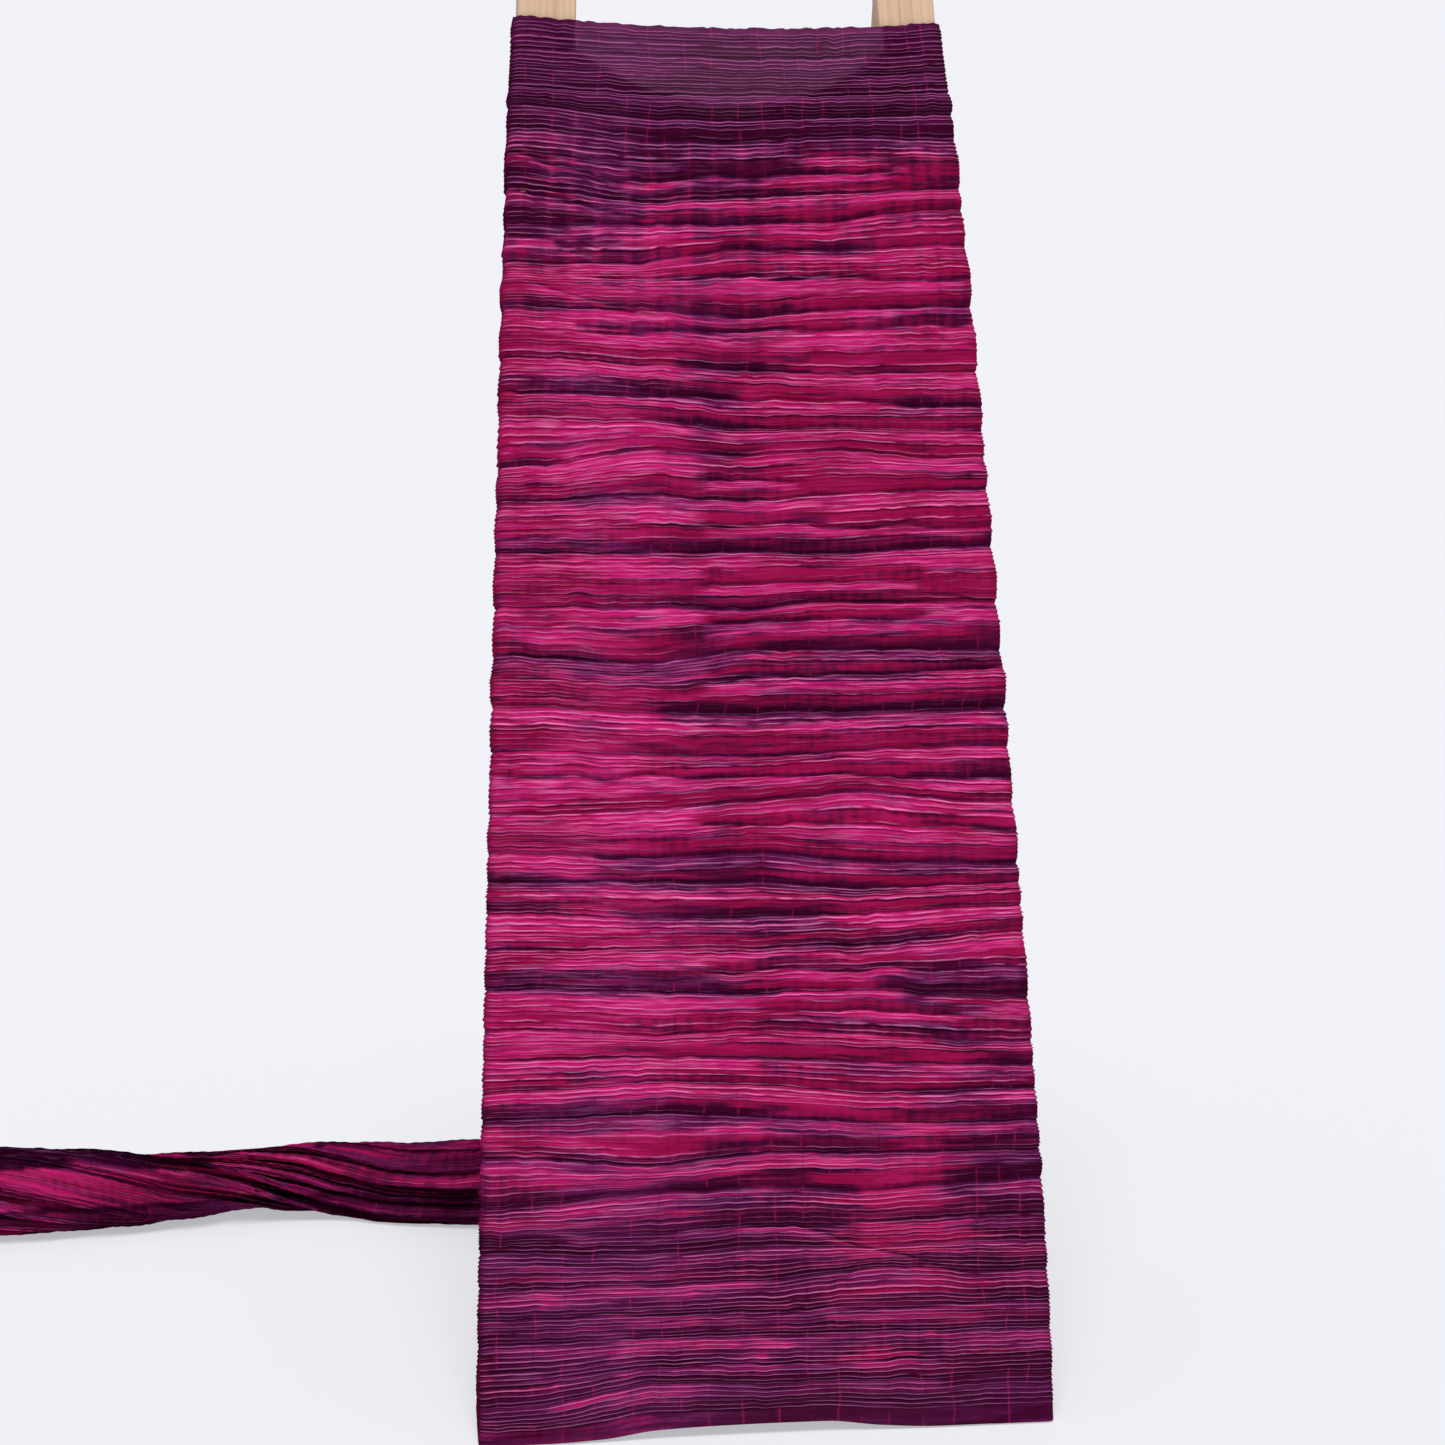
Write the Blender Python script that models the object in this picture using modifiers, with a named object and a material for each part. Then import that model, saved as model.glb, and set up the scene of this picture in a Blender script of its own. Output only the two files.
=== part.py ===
"""A length of finely pleated, tie-dyed silk wrapped round a plain wooden A-shaped stand.

The cloth is one sheet. Its cut end is tucked behind the right rail. From there it passes behind the
frame, round the left rail, across the front, round the right rail, and then gathers down to the
floor behind, where it lies folded to and fro as a loose rope that leads off to the left.

Metres, +Z up. The front of the stand faces -Y. The frame of the panel has x across, s up the lean
from the floor, and n out of the panel's middle plane towards the front.
"""
import math

import bmesh
import bpy
import numpy as np
from mathutils import Matrix, Vector

# Driving dimensions of the stand
LEAN = math.radians(16.0)
RAIL_WIDTH = 0.047
RAIL_THICK = 0.020
FRONT_LENGTH = 1.260
EDGE_ROUND = 0.002
FRONT_TOP_BAR_AT = 1.205
FRONT_LOW_BAR_AT = 0.180
LEG_WIDTH = 0.030
LEG_FOOT_Y = 0.625
LEG_TOP_Y = 0.345
LEG_TOP_Z = 1.165
LEG_HALF_FOOT = 0.155
LEG_HALF_TOP = 0.146
LEG_LOW_BAR_Z = 0.260
CONTACT_GAP = 0.0003
PAST_FLOOR = 0.030
CUTTER_SIZE = 4.0

# Driving dimensions of the cloth
CLOTH_WIDTH = 1.1176
SHEET = 0.0016
RAIL_CLEARANCE = 0.0027
HALF_BOTTOM = 0.2256
HALF_TOP = 0.1746
LEFT_BOW = 0.0020
RIGHT_BOW = 0.0070
BOW_POWER = 4
TOP_SAG = 0.0073
BACK_DROP = 0.0220
BACK_SAG = 0.0510
RAIL_INNER = 0.71
SAG_POWER = 1.3
BACK_BILLOW = 0.0060
BACK_HEM = 0.0120
BACK_HEM_RISE = 0.0180
CORNER_HEM = 0.0012
TAIL_HEM = 0.0030
TUCK_BACK = 0.0140

# A ridge of the front stands out by these shares of itself behind the rails and at their sides
BACK_RIDGE = 0.6
SIDE_RIDGE = 0.4

# The sheet's middle surface stands this far off the rails, and turns their corners at this radius
STAND_OFF = RAIL_CLEARANCE + SHEET / 2
LAYER = RAIL_THICK / 2 + STAND_OFF
CORNER = EDGE_ROUND + STAND_OFF

# The main folds of the front, from the bottom up: how high the trough lies up the cloth at five
# places across it, and how far the ridge above it stands out
FOLD_PLACES = (0.06, 0.28, 0.50, 0.72, 0.94)
FOLDS = [
    (0.027, 0.040, 0.034, 0.035, 0.037, 0.0015),
    (0.072, 0.074, 0.074, 0.072, 0.071, 0.0020),
    (0.116, 0.115, 0.115, 0.123, 0.115, 0.0020),
    (0.142, 0.136, 0.141, 0.138, 0.138, 0.0020),
    (0.178, 0.185, 0.186, 0.181, 0.187, 0.0030),
    (0.214, 0.205, 0.212, 0.210, 0.209, 0.0020),
    (0.243, 0.245, 0.239, 0.232, 0.231, 0.0020),
    (0.266, 0.269, 0.266, 0.256, 0.256, 0.0015),
    (0.289, 0.289, 0.285, 0.280, 0.275, 0.0015),
    (0.312, 0.305, 0.307, 0.301, 0.293, 0.0020),
    (0.344, 0.341, 0.336, 0.337, 0.328, 0.0025),
    (0.374, 0.373, 0.371, 0.371, 0.379, 0.0020),
    (0.403, 0.397, 0.395, 0.396, 0.400, 0.0020),
    (0.427, 0.423, 0.423, 0.416, 0.418, 0.0020),
    (0.450, 0.443, 0.446, 0.437, 0.435, 0.0035),
    (0.478, 0.480, 0.486, 0.493, 0.482, 0.0025),
    (0.529, 0.524, 0.522, 0.526, 0.527, 0.0030),
    (0.564, 0.558, 0.555, 0.556, 0.558, 0.0045),
    (0.603, 0.595, 0.606, 0.606, 0.604, 0.0030),
    (0.642, 0.641, 0.639, 0.645, 0.643, 0.0040),
    (0.685, 0.684, 0.684, 0.683, 0.688, 0.0035),
    (0.725, 0.729, 0.725, 0.730, 0.734, 0.0030),
    (0.752, 0.766, 0.761, 0.766, 0.760, 0.0020),
    (0.793, 0.791, 0.783, 0.784, 0.782, 0.0035),
    (0.838, 0.836, 0.831, 0.828, 0.830, 0.0035),
    (0.876, 0.880, 0.873, 0.880, 0.883, 0.0040),
    (0.912, 0.917, 0.928, 0.928, 0.933, 0.0020),
    (0.943, 0.949, 0.949, 0.952, 0.963, 0.0020),
    (0.972, 0.966, 0.970, 0.975, 0.980, 0.0035),
    (1.022, 1.017, 1.016, 1.022, 1.021, 0.0020),
    (1.046, 1.037, 1.036, 1.040, 1.042, 0.0030),
    (1.081, 1.076, 1.075, 1.060, 1.061, 0.0015),
]

# How far the front's bottom edge hangs clear of the floor, from the left side to the right
HEM = [
    # share of the width, height
    (0.00, 0.0010),
    (0.17, 0.0013),
    (0.24, 0.0043),
    (0.31, 0.0081),
    (0.41, 0.0090),
    (0.59, 0.0094),
    (0.69, 0.0045),
    (0.83, 0.0010),
    (1.00, 0.0024),
]

# Where the tail turns off the right rail's side: how far in from the outline, and how far behind
TAIL_LEAVES = [
    # inset, behind
    (0.0010, 0.0110),
    (0.0055, 0.0250),
]

# The fan behind the panel: where its bottom edge lies on the floor, and where its top edge hangs
FAN = [
    # bottom x, bottom y, top x, top y, top z, closure
    (0.233, 0.120, 0.140, 0.352, 0.905, 0.15),
    (0.226, 0.230, 0.113, 0.395, 0.700, 0.40),
    (0.203, 0.335, 0.087, 0.440, 0.490, 0.65),
    (0.158, 0.430, 0.055, 0.484, 0.290, 0.85),
    (0.085, 0.500, 0.020, 0.517, 0.145, 1.00),
]

# The rope on the floor, from behind the panel to its free end
ROPE = [
    # x, y, height, twist in degrees
    (-0.020, 0.528, 0.078, 0.0),
    (-0.110, 0.527, 0.077, 3.0),
    (-0.184, 0.528, 0.073, 6.0),
    (-0.250, 0.549, 0.064, 9.0),
    (-0.300, 0.572, 0.060, 10.0),
    (-0.352, 0.587, 0.053, 9.0),
    (-0.412, 0.582, 0.051, 6.0),
    (-0.470, 0.567, 0.059, 2.0),
    (-0.530, 0.554, 0.067, -2.0),
    (-0.613, 0.538, 0.073, -4.0),
    (-0.700, 0.528, 0.076, -4.0),
]

# The rope and fan are folded to and fro in this many layers of four steps each
LAYERS = 16
STEPS = 4
LAYER_LENGTH = CLOTH_WIDTH / LAYERS
TURN_SHARE = 0.95
STACK_SHARE = 0.45
LAYER_GAP = 0.0006
# How far the rope's layers reach, from the floor to its top: its belly is wide and its top round
BELLY = [
    # level, share of the fold's depth
    (0.00, 0.95),
    (0.30, 1.15),
    (0.60, 1.12),
    (0.85, 0.85),
    (1.00, 0.55),
]
# The lowest layers lie flat on the floor: the twist is whole only above this many of them
LYING_LAYERS = 5

HALVINGS = 40

BACK_COLUMNS = 7
FRONT_COLUMNS = 9


def clear_scene():
    for item in list(bpy.data.objects):
        bpy.data.objects.remove(item, do_unlink=True)


def make_collection(name):
    collection = bpy.data.collections.new(name)
    bpy.context.scene.collection.children.link(collection)
    return collection


def make_material(name, colour, roughness):
    material = bpy.data.materials.new(name)
    material.use_nodes = True
    shader = material.node_tree.nodes["Principled BSDF"]
    shader.inputs["Base Color"].default_value = (*colour, 1.0)
    shader.inputs["Roughness"].default_value = roughness
    shader.inputs["Metallic"].default_value = 0.0
    return material


def panel_point(x, s, n):
    """A point of the leaning panel's frame, in the world."""
    y = s * math.sin(LEAN) - n * math.cos(LEAN)
    z = s * math.cos(LEAN) + n * math.sin(LEAN)
    return Vector((x, y, z))


def half_width(share, across):
    """Half the panel's width at a share of its height, its sides bowing out a little."""
    straight = HALF_BOTTOM + (HALF_TOP - HALF_BOTTOM) * share
    bow = LEFT_BOW + (RIGHT_BOW - LEFT_BOW) * across
    return straight + bow * (1 - (2 * share - 1) ** BOW_POWER)


def rail_centre(s):
    """How far a front rail's centre line stands from the middle, s up the lean."""
    outline = HALF_BOTTOM + (HALF_TOP - HALF_BOTTOM) * s / CLOTH_WIDTH
    return outline - SHEET - RAIL_CLEARANCE - RAIL_WIDTH / 2


# The stand

def box_between(name, start, end, width, thick, thick_axis, collection, material):
    """A rounded bar from start to end, its thickness along thick_axis."""
    bpy.ops.mesh.primitive_cube_add(size=1.0)
    bar = bpy.context.active_object
    bar.name = name
    along = (end - start).normalized()
    deep = (thick_axis - along * thick_axis.dot(along)).normalized()
    across = deep.cross(along)
    turn = Matrix((across, deep, along)).transposed().to_4x4()
    size = Matrix.Diagonal((width, thick, (end - start).length, 1.0))
    bar.data.transform(size)
    bar.matrix_world = Matrix.Translation((start + end) / 2) @ turn
    rounding = bar.modifiers.new("rounded edges", "BEVEL")
    rounding.width = EDGE_ROUND
    rounding.segments = 2
    bar.data.materials.append(material)
    for owner in list(bar.users_collection):
        owner.objects.unlink(bar)
    collection.objects.link(bar)
    return bar


def half_space(name, point, outward, collection):
    """A large box whose face passes through point and which fills the outward side."""
    bpy.ops.mesh.primitive_cube_add(size=CUTTER_SIZE)
    cutter = bpy.context.active_object
    cutter.name = name
    turn = outward.normalized().to_track_quat("Z", "Y").to_matrix().to_4x4()
    centre = point + outward.normalized() * CUTTER_SIZE / 2
    cutter.matrix_world = Matrix.Translation(centre) @ turn
    cutter.hide_render = True
    cutter.display_type = "WIRE"
    for owner in list(cutter.users_collection):
        owner.objects.unlink(cutter)
    collection.objects.link(cutter)
    return cutter


def cut(piece, cutter):
    saw = piece.modifiers.new("cut by " + cutter.name, "BOOLEAN")
    saw.operation = "DIFFERENCE"
    saw.solver = "EXACT"
    saw.object = cutter


def build_stand(collection, cutters, wood):
    """Two leaning rails and two rear legs, joined by three bars."""
    panel_normal = panel_point(0, 0, 1) - panel_point(0, 0, 0)
    floor = half_space("floor_cut", Vector((0, 0, 0)), Vector((0, 0, -1)), cutters)

    inner_faces = []
    for side, label in ((-1, "left"), (1, "right")):
        foot = panel_point(side * rail_centre(-PAST_FLOOR), -PAST_FLOOR, 0)
        top = panel_point(side * rail_centre(FRONT_LENGTH), FRONT_LENGTH, 0)
        rail = box_between("front_rail_" + label, foot, top, RAIL_WIDTH, RAIL_THICK, panel_normal,
                           collection, wood)
        cut(rail, floor)
        along = (top - foot).normalized()
        inward = along.cross(panel_normal) * side
        inward = -inward if inward.x * side > 0 else inward
        face = foot + inward * (RAIL_WIDTH / 2 + CONTACT_GAP)
        inner_faces.append(half_space("bar_end_" + label, face, -inward, cutters))

    for name, height in (("front_top_bar", FRONT_TOP_BAR_AT), ("front_low_bar", FRONT_LOW_BAR_AT)):
        reach = rail_centre(height)
        bar = box_between(name, panel_point(-reach, height, 0), panel_point(reach, height, 0),
                          RAIL_WIDTH, RAIL_THICK, panel_normal, collection, wood)
        for face in inner_faces:
            cut(bar, face)

    frame_back = half_space("frame_back", panel_point(0, 0, -RAIL_THICK / 2 - CONTACT_GAP),
                            panel_normal, cutters)
    leg_faces = []
    leg_run = Vector((0, LEG_FOOT_Y - LEG_TOP_Y, -LEG_TOP_Z)).normalized()
    leg_normal = Vector((0, leg_run.z, -leg_run.y))
    for side, label in ((-1, "left"), (1, "right")):
        foot = Vector((side * LEG_HALF_FOOT, LEG_FOOT_Y, 0))
        top = Vector((side * LEG_HALF_TOP, LEG_TOP_Y, LEG_TOP_Z))
        along = (top - foot).normalized()
        leg = box_between("rear_leg_" + label, foot - along * PAST_FLOOR, top + along * PAST_FLOOR,
                          LEG_WIDTH, RAIL_THICK, leg_normal, collection, wood)
        cut(leg, floor)
        cut(leg, frame_back)
        inward = along.cross(leg_normal)
        inward = -inward if inward.x * side > 0 else inward
        face = foot + inward.normalized() * (LEG_WIDTH / 2 + CONTACT_GAP)
        leg_faces.append(half_space("leg_bar_end_" + label, face, -inward, cutters))

    share = LEG_LOW_BAR_Z / LEG_TOP_Z
    bar_y = LEG_FOOT_Y + (LEG_TOP_Y - LEG_FOOT_Y) * share
    bar = box_between("rear_low_bar", Vector((-LEG_HALF_FOOT, bar_y, LEG_LOW_BAR_Z)),
                      Vector((LEG_HALF_FOOT, bar_y, LEG_LOW_BAR_Z)), RAIL_WIDTH, RAIL_THICK,
                      leg_normal, collection, wood)
    for face in leg_faces:
        cut(bar, face)


# The cloth

def row_shares(across):
    """How high each row lies, as shares of the cloth's width, at a share across the front.

    Rows alternate between troughs and the ridges half way between them. The first and last are
    the selvedges.
    """
    troughs = [float(np.interp(across, FOLD_PLACES, fold[:-1])) / CLOTH_WIDTH for fold in FOLDS]
    rows = [0.0]
    for below, above in zip(troughs, troughs[1:] + [1.0]):
        rows.append(below)
        rows.append((below + above) / 2)
    rows[-1] = 1.0
    return rows


def row_ridges():
    """How far each row stands out of the panel."""
    rows = [0.0]
    for fold in FOLDS:
        rows.append(0.0)
        rows.append(fold[-1])
    rows[-1] = 0.0
    return rows


def back_drop(side):
    """How far the back layer's top edge hangs below the front's, sagging between the rails."""
    level = min(1.0, (1 - abs(side)) / (1 - RAIL_INNER))
    sag = max(0.0, 1 - (abs(side) / RAIL_INNER) ** SAG_POWER)
    return BACK_DROP * level + BACK_SAG * sag


def panel_column(across, place, hem, drop):
    """A column of the wrap from the hem, at its height off the floor, up to the top edge.

    place gives x and n for half the panel's width and the ridge at each row.
    """
    column = []
    for share, ridge in zip(row_shares(across), row_ridges()):
        x, n = place(half_width(share, across), ridge)
        bottom = (hem - n * math.sin(LEAN)) / math.cos(LEAN)
        column.append(panel_point(x, bottom + share * (CLOTH_WIDTH - drop - bottom), n))
    return column


def back_column(side):
    """Behind the rails: side runs from 1, the tucked end, to -1, the left rail.

    The tucked end lies against the back of the right rail, which carries it.
    """
    seat = RAIL_CLEARANCE - CONTACT_GAP if side == 1 else 0.0

    def place(half, ridge):
        x = side * (half - SHEET / 2 - CORNER - TUCK_BACK * max(side, 0.0))
        n = seat - LAYER - ridge * BACK_RIDGE - BACK_BILLOW * (1 - side * side)
        return x, n
    hem = BACK_HEM + BACK_HEM_RISE * (1 - side * side)
    return panel_column(0.5 + 0.5 * side, place, hem, back_drop(side))


def front_column(side):
    """Across the front: side runs from -1, the left rail, to 1, the right rail."""
    def place(half, ridge):
        return side * (half - SHEET / 2 - CORNER), LAYER + ridge
    across = 0.5 + 0.5 * side
    hem = float(np.interp(across, [row[0] for row in HEM], [row[1] for row in HEM]))
    return panel_column(across, place, hem, TOP_SAG * (1 - side * side))


def corner_column(side, face, angle):
    """Round a rail's corner: face is 1 in front and -1 behind, angle is 0 on the rail's side."""
    turn = math.radians(angle)

    def place(half, ridge):
        x = half - SHEET / 2 - CORNER + (CORNER + ridge * SIDE_RIDGE) * math.cos(turn)
        n = RAIL_THICK / 2 - EDGE_ROUND + (CORNER + ridge) * math.sin(turn)
        return side * x, face * n
    hem = CORNER_HEM if face > 0 else BACK_HEM
    return panel_column(0.5 + 0.5 * side, place, hem, 0.0)


def tail_column(inset, behind):
    """Where the tail leaves the right rail, further behind it than the tucked end."""
    def place(half, ridge):
        return half - SHEET / 2 - inset + ridge * SIDE_RIDGE, -behind
    return panel_column(1.0, place, TAIL_HEM, 0.0)


def wrap_grid():
    """Columns of the wrap, from the tucked end round to where the tail leaves the right rail."""
    grid = [back_column(1 - 2 * k / (BACK_COLUMNS - 1)) for k in range(BACK_COLUMNS)]
    grid += [corner_column(-1, -1, angle) for angle in (90, 45, 0)]
    grid += [corner_column(-1, 1, angle) for angle in (0, 45, 90)]
    grid += [front_column(-1 + 2 * k / (FRONT_COLUMNS + 1)) for k in range(1, FRONT_COLUMNS + 1)]
    grid += [corner_column(1, 1, angle) for angle in (90, 45, 0)]
    grid += [tail_column(inset, behind) for inset, behind in TAIL_LEAVES]
    return grid


def fold_steps(closure):
    """Where a layer's four steps lie: shares of the stack's pitch and of the fold's half depth."""
    quarter = 0.25 + (STACK_SHARE - 0.25) * closure
    reach = 0.5 + (TURN_SHARE - 0.5) * closure
    return [(0.0, -1.0), (quarter, -reach), (0.5, 0.0), (1.0 - quarter, reach)]


def fold_depth(pitch, closure):
    """Half depth of the folds for which a layer keeps the length of its cloth."""
    steps = fold_steps(closure) + [(1.0, 1.0)]
    low, high = 0.0, LAYER_LENGTH / 2
    for _ in range(HALVINGS):
        middle = (low + high) / 2
        length = 0.0
        for (a, b), (c, d) in zip(steps, steps[1:]):
            length += math.hypot((c - a) * pitch, (d - b) * middle)
        if length > LAYER_LENGTH:
            high = middle
        else:
            low = middle
    return low


def folded_column(bottom, top, side_way, closure, twist=0.0, on_floor=0.0):
    """A to-and-fro column of rows between a bottom point and a top point."""
    stack = top - bottom
    pitch = stack.length / LAYERS
    depth = fold_depth(pitch, closure)
    steps = fold_steps(closure)
    up = stack.normalized()
    centre = (bottom + top) / 2
    column = []
    for row in range(LAYERS * STEPS + 1):
        layer, step = divmod(row, STEPS)
        rise, reach = steps[step]
        way = 1 if layer % 2 == 0 else -1
        level = layer + rise
        belly = np.interp(level / LAYERS, [row[0] for row in BELLY], [row[1] for row in BELLY])
        bulge = 1 + closure * (float(belly) - 1)
        height = (level - 0.5 * on_floor) * pitch - stack.length / 2
        sideways = reach * way * depth * bulge
        turn = math.radians(twist) * min(1.0, level / LYING_LAYERS)
        lean = sideways * math.sin(turn)
        point = centre + up * (height + lean) + side_way * (sideways * math.cos(turn))
        rest = SHEET / 2 + max(0.0, level - 0.5) * (SHEET + LAYER_GAP) * on_floor
        point.z = max(point.z, rest)
        column.append(point)
    return column


def fan_and_rope_grid():
    """Columns of the fan, then of the rope on the floor."""
    places = []
    for bottom_x, bottom_y, top_x, top_y, top_z, closure in FAN:
        bottom = Vector((bottom_x, bottom_y, SHEET / 2))
        top = Vector((top_x, top_y, top_z))
        places.append((bottom, top, closure, 0.0, 1.0 if closure >= 1.0 else 0.0))
    for x, y, height, twist in ROPE:
        places.append((Vector((x, y, SHEET / 2)), Vector((x, y, SHEET / 2 + height)), 1.0, twist, 1.0))

    middles = [(bottom + top) / 2 for bottom, top, closure, twist, floor in places]
    columns = []
    for k, (bottom, top, closure, twist, floor) in enumerate(places):
        before = middles[max(k - 1, 0)]
        after = middles[min(k + 1, len(places) - 1)]
        flow = Vector((after.x - before.x, after.y - before.y, 0)).normalized()
        side_way = Vector((flow.y, -flow.x, 0))
        columns.append(folded_column(bottom, top, side_way, closure, twist, floor))
    return columns


def build_cloth(collection, silk):
    """The whole cloth as one sheet with its thickness."""
    grid = wrap_grid() + fan_and_rope_grid()
    rows = len(grid[0])
    mesh = bpy.data.meshes.new("cloth")
    sheet = bmesh.new()
    points = [[sheet.verts.new(point) for point in column] for column in grid]
    for left, right in zip(points, points[1:]):
        for row in range(rows - 1):
            sheet.faces.new((left[row], left[row + 1], right[row + 1], right[row]))
    sheet.normal_update()
    sheet.to_mesh(mesh)
    sheet.free()
    mesh.shade_smooth()
    cloth = bpy.data.objects.new("cloth", mesh)
    mesh.materials.append(silk)
    collection.objects.link(cloth)
    thickness = cloth.modifiers.new("sheet thickness", "SOLIDIFY")
    thickness.thickness = SHEET
    thickness.offset = 0.0
    return cloth


def middle_of(collection):
    """The middle of everything in the collection, on the floor."""
    bpy.context.view_layer.update()
    graph = bpy.context.evaluated_depsgraph_get()
    corners = []
    for piece in collection.objects:
        solid = piece.evaluated_get(graph)
        mesh = solid.to_mesh()
        corners += [solid.matrix_world @ vertex.co for vertex in mesh.vertices]
        solid.to_mesh_clear()
    middle_x = (min(c.x for c in corners) + max(c.x for c in corners)) / 2
    middle_y = (min(c.y for c in corners) + max(c.y for c in corners)) / 2
    return Vector((middle_x, middle_y, 0.0))


def main():
    clear_scene()
    parts = make_collection("bandhani_silk_on_stand")
    cutters = make_collection("cutters")
    silk = make_material("pleated silk", (0.42, 0.02, 0.16), 0.45)
    wood = make_material("plain pale wood", (0.72, 0.50, 0.32), 0.55)
    build_stand(parts, cutters, wood)
    build_cloth(parts, silk)
    middle = middle_of(parts)
    root = bpy.data.objects.new("root", None)
    root.location = -middle
    parts.objects.link(root)
    for piece in list(parts.objects) + list(cutters.objects):
        if piece is not root:
            piece.parent = root


main()
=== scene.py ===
# %% [markdown]
# # Pleated bandhani silk on a wooden stand
#
# A length of silk, tied, dyed and finely pleated, is stretched round the two front rails of a plain
# wooden stand, and the rest of it lies gathered on the floor behind. The imported model gives every
# place and size in metres, so it is loaded first.

import math

import bpy
import numpy as np
from mathutils import Matrix, Vector


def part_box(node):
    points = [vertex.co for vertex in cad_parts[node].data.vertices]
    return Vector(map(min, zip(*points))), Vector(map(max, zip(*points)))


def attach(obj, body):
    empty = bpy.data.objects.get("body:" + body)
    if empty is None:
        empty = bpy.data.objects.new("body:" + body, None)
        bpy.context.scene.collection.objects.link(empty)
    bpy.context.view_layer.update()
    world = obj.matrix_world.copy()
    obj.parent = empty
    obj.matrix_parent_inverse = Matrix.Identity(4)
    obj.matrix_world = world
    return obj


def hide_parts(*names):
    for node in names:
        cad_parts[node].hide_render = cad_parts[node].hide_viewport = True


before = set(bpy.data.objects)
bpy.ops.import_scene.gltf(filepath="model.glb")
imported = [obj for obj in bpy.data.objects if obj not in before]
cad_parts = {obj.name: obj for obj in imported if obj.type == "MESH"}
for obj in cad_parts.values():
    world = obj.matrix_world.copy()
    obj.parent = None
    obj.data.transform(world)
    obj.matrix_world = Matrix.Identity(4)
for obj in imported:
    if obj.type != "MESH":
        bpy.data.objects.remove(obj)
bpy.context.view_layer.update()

# %% [markdown]
# ## Where the stand is
#
# The front rails lean back by 16 degrees from a foot line on the floor. Half way between the rails,
# on that line, is the point that the cloth and the camera are both measured from, so neither needs
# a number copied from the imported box.

# %% The stand's foot line
LEAN = math.radians(16.0)
RAIL_THICK = 0.020
left_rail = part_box("front_rail_left")
right_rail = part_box("front_rail_right")
FOOT = Vector((
    (left_rail[0][0] + right_rail[1][0]) / 2,
    left_rail[0][1] + RAIL_THICK / 2 / math.cos(LEAN),
    0.0,
))
print("middle of the foot line:", [round(value, 4) for value in FOOT])

# %% [markdown]
# ## Camera
#
# The photograph was taken from a little left of the middle, from just under the height of the
# cloth's top edge, and looking ten degrees down. The camera's place was found by fitting the four
# corners of the cloth. A long lens keeps the rails' lines nearly straight.

# %% Camera
PHOTO_PIXELS = 1445
FOCAL_PIXELS = 3318.0
SENSOR = 36.0
FAR_CLIP = 200.0
CAMERA_FROM_FOOT = Vector((-0.4045, -2.4019, 0.9843))
CAMERA_YAW = math.radians(8.57)
CAMERA_PITCH = math.radians(10.0)
CAMERA_ROLL = math.radians(0.73)


def add_object(name, data):
    """An object made from its data and put in the scene."""
    made = bpy.data.objects.new(name, data)
    bpy.context.scene.collection.objects.link(made)
    return made


level = Vector((math.cos(CAMERA_YAW), -math.sin(CAMERA_YAW), 0.0))
ahead = Vector((
    math.sin(CAMERA_YAW) * math.cos(CAMERA_PITCH),
    math.cos(CAMERA_YAW) * math.cos(CAMERA_PITCH),
    -math.sin(CAMERA_PITCH),
))
upright = level.cross(ahead)
right = level * math.cos(CAMERA_ROLL) + upright * math.sin(CAMERA_ROLL)
up = upright * math.cos(CAMERA_ROLL) - level * math.sin(CAMERA_ROLL)

lens = bpy.data.cameras.new("camera")
lens.sensor_width = SENSOR
lens.lens = SENSOR * FOCAL_PIXELS / PHOTO_PIXELS
lens.clip_end = FAR_CLIP
camera = add_object("camera", lens)
camera.matrix_world = (
    Matrix.Translation(FOOT + CAMERA_FROM_FOOT) @ Matrix((right, up, -ahead)).transposed().to_4x4()
)
bpy.context.scene.camera = camera
print("lens:", round(lens.lens, 1), "mm")

# %% [markdown]
# ## Floor and light
#
# The picture was taken on a white floor under wide, soft light from above and in front. A sun lamp
# with a broad disc gives shadows with soft edges and lights the whole floor evenly, however far it
# runs, and a pale sky fills the shadows. The camera sees an even backdrop in place of that sky. The
# floor gives out half of the backdrop's light by itself, so the two meet without a line.

# %% Floor
FLOOR_HALF = 60.0
FLOOR_WHITE = (0.795, 0.798, 0.834)
FLOOR_LIT = 0.5
FLOOR_ROUGH = 0.9
BACKDROP = (0.880, 0.888, 0.931)


def new_material(name):
    """A material, its shader, and the nodes and links of its tree."""
    made = bpy.data.materials.new(name)
    made.use_nodes = True
    tree = made.node_tree
    return made, tree.nodes["Principled BSDF"], tree.nodes, tree.links


floor_mesh = bpy.data.meshes.new("studio_floor")
corners = [(FLOOR_HALF * x, FLOOR_HALF * y, 0) for x, y in ((-1, -1), (1, -1), (1, 1), (-1, 1))]
floor_mesh.from_pydata(corners, [], [(0, 1, 2, 3)])
floor_mesh.update()
floor = add_object("studio_floor", floor_mesh)
floor_paint, floor_shader = new_material("studio white")[:2]
floor_shader.inputs["Base Color"].default_value = (*(FLOOR_LIT * part for part in FLOOR_WHITE), 1.0)
floor_shader.inputs["Emission Color"].default_value = (*BACKDROP, 1.0)
floor_shader.inputs["Emission Strength"].default_value = 1 - FLOOR_LIT
floor_shader.inputs["Roughness"].default_value = FLOOR_ROUGH
floor_shader.inputs["Specular IOR Level"].default_value = 0.0
floor_mesh.materials.append(floor_paint)
print("floor:", 2 * FLOOR_HALF, "m across")

# %% Light
SKY_TINT = (0.97, 0.98, 1.0)
SKY_STRENGTH = 0.42
SUN_STRENGTH = 2.42
SUN_DISC = math.radians(26.0)
SUN_HEIGHT = math.radians(66.0)
SUN_ROUND = math.radians(-12.0)

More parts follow.
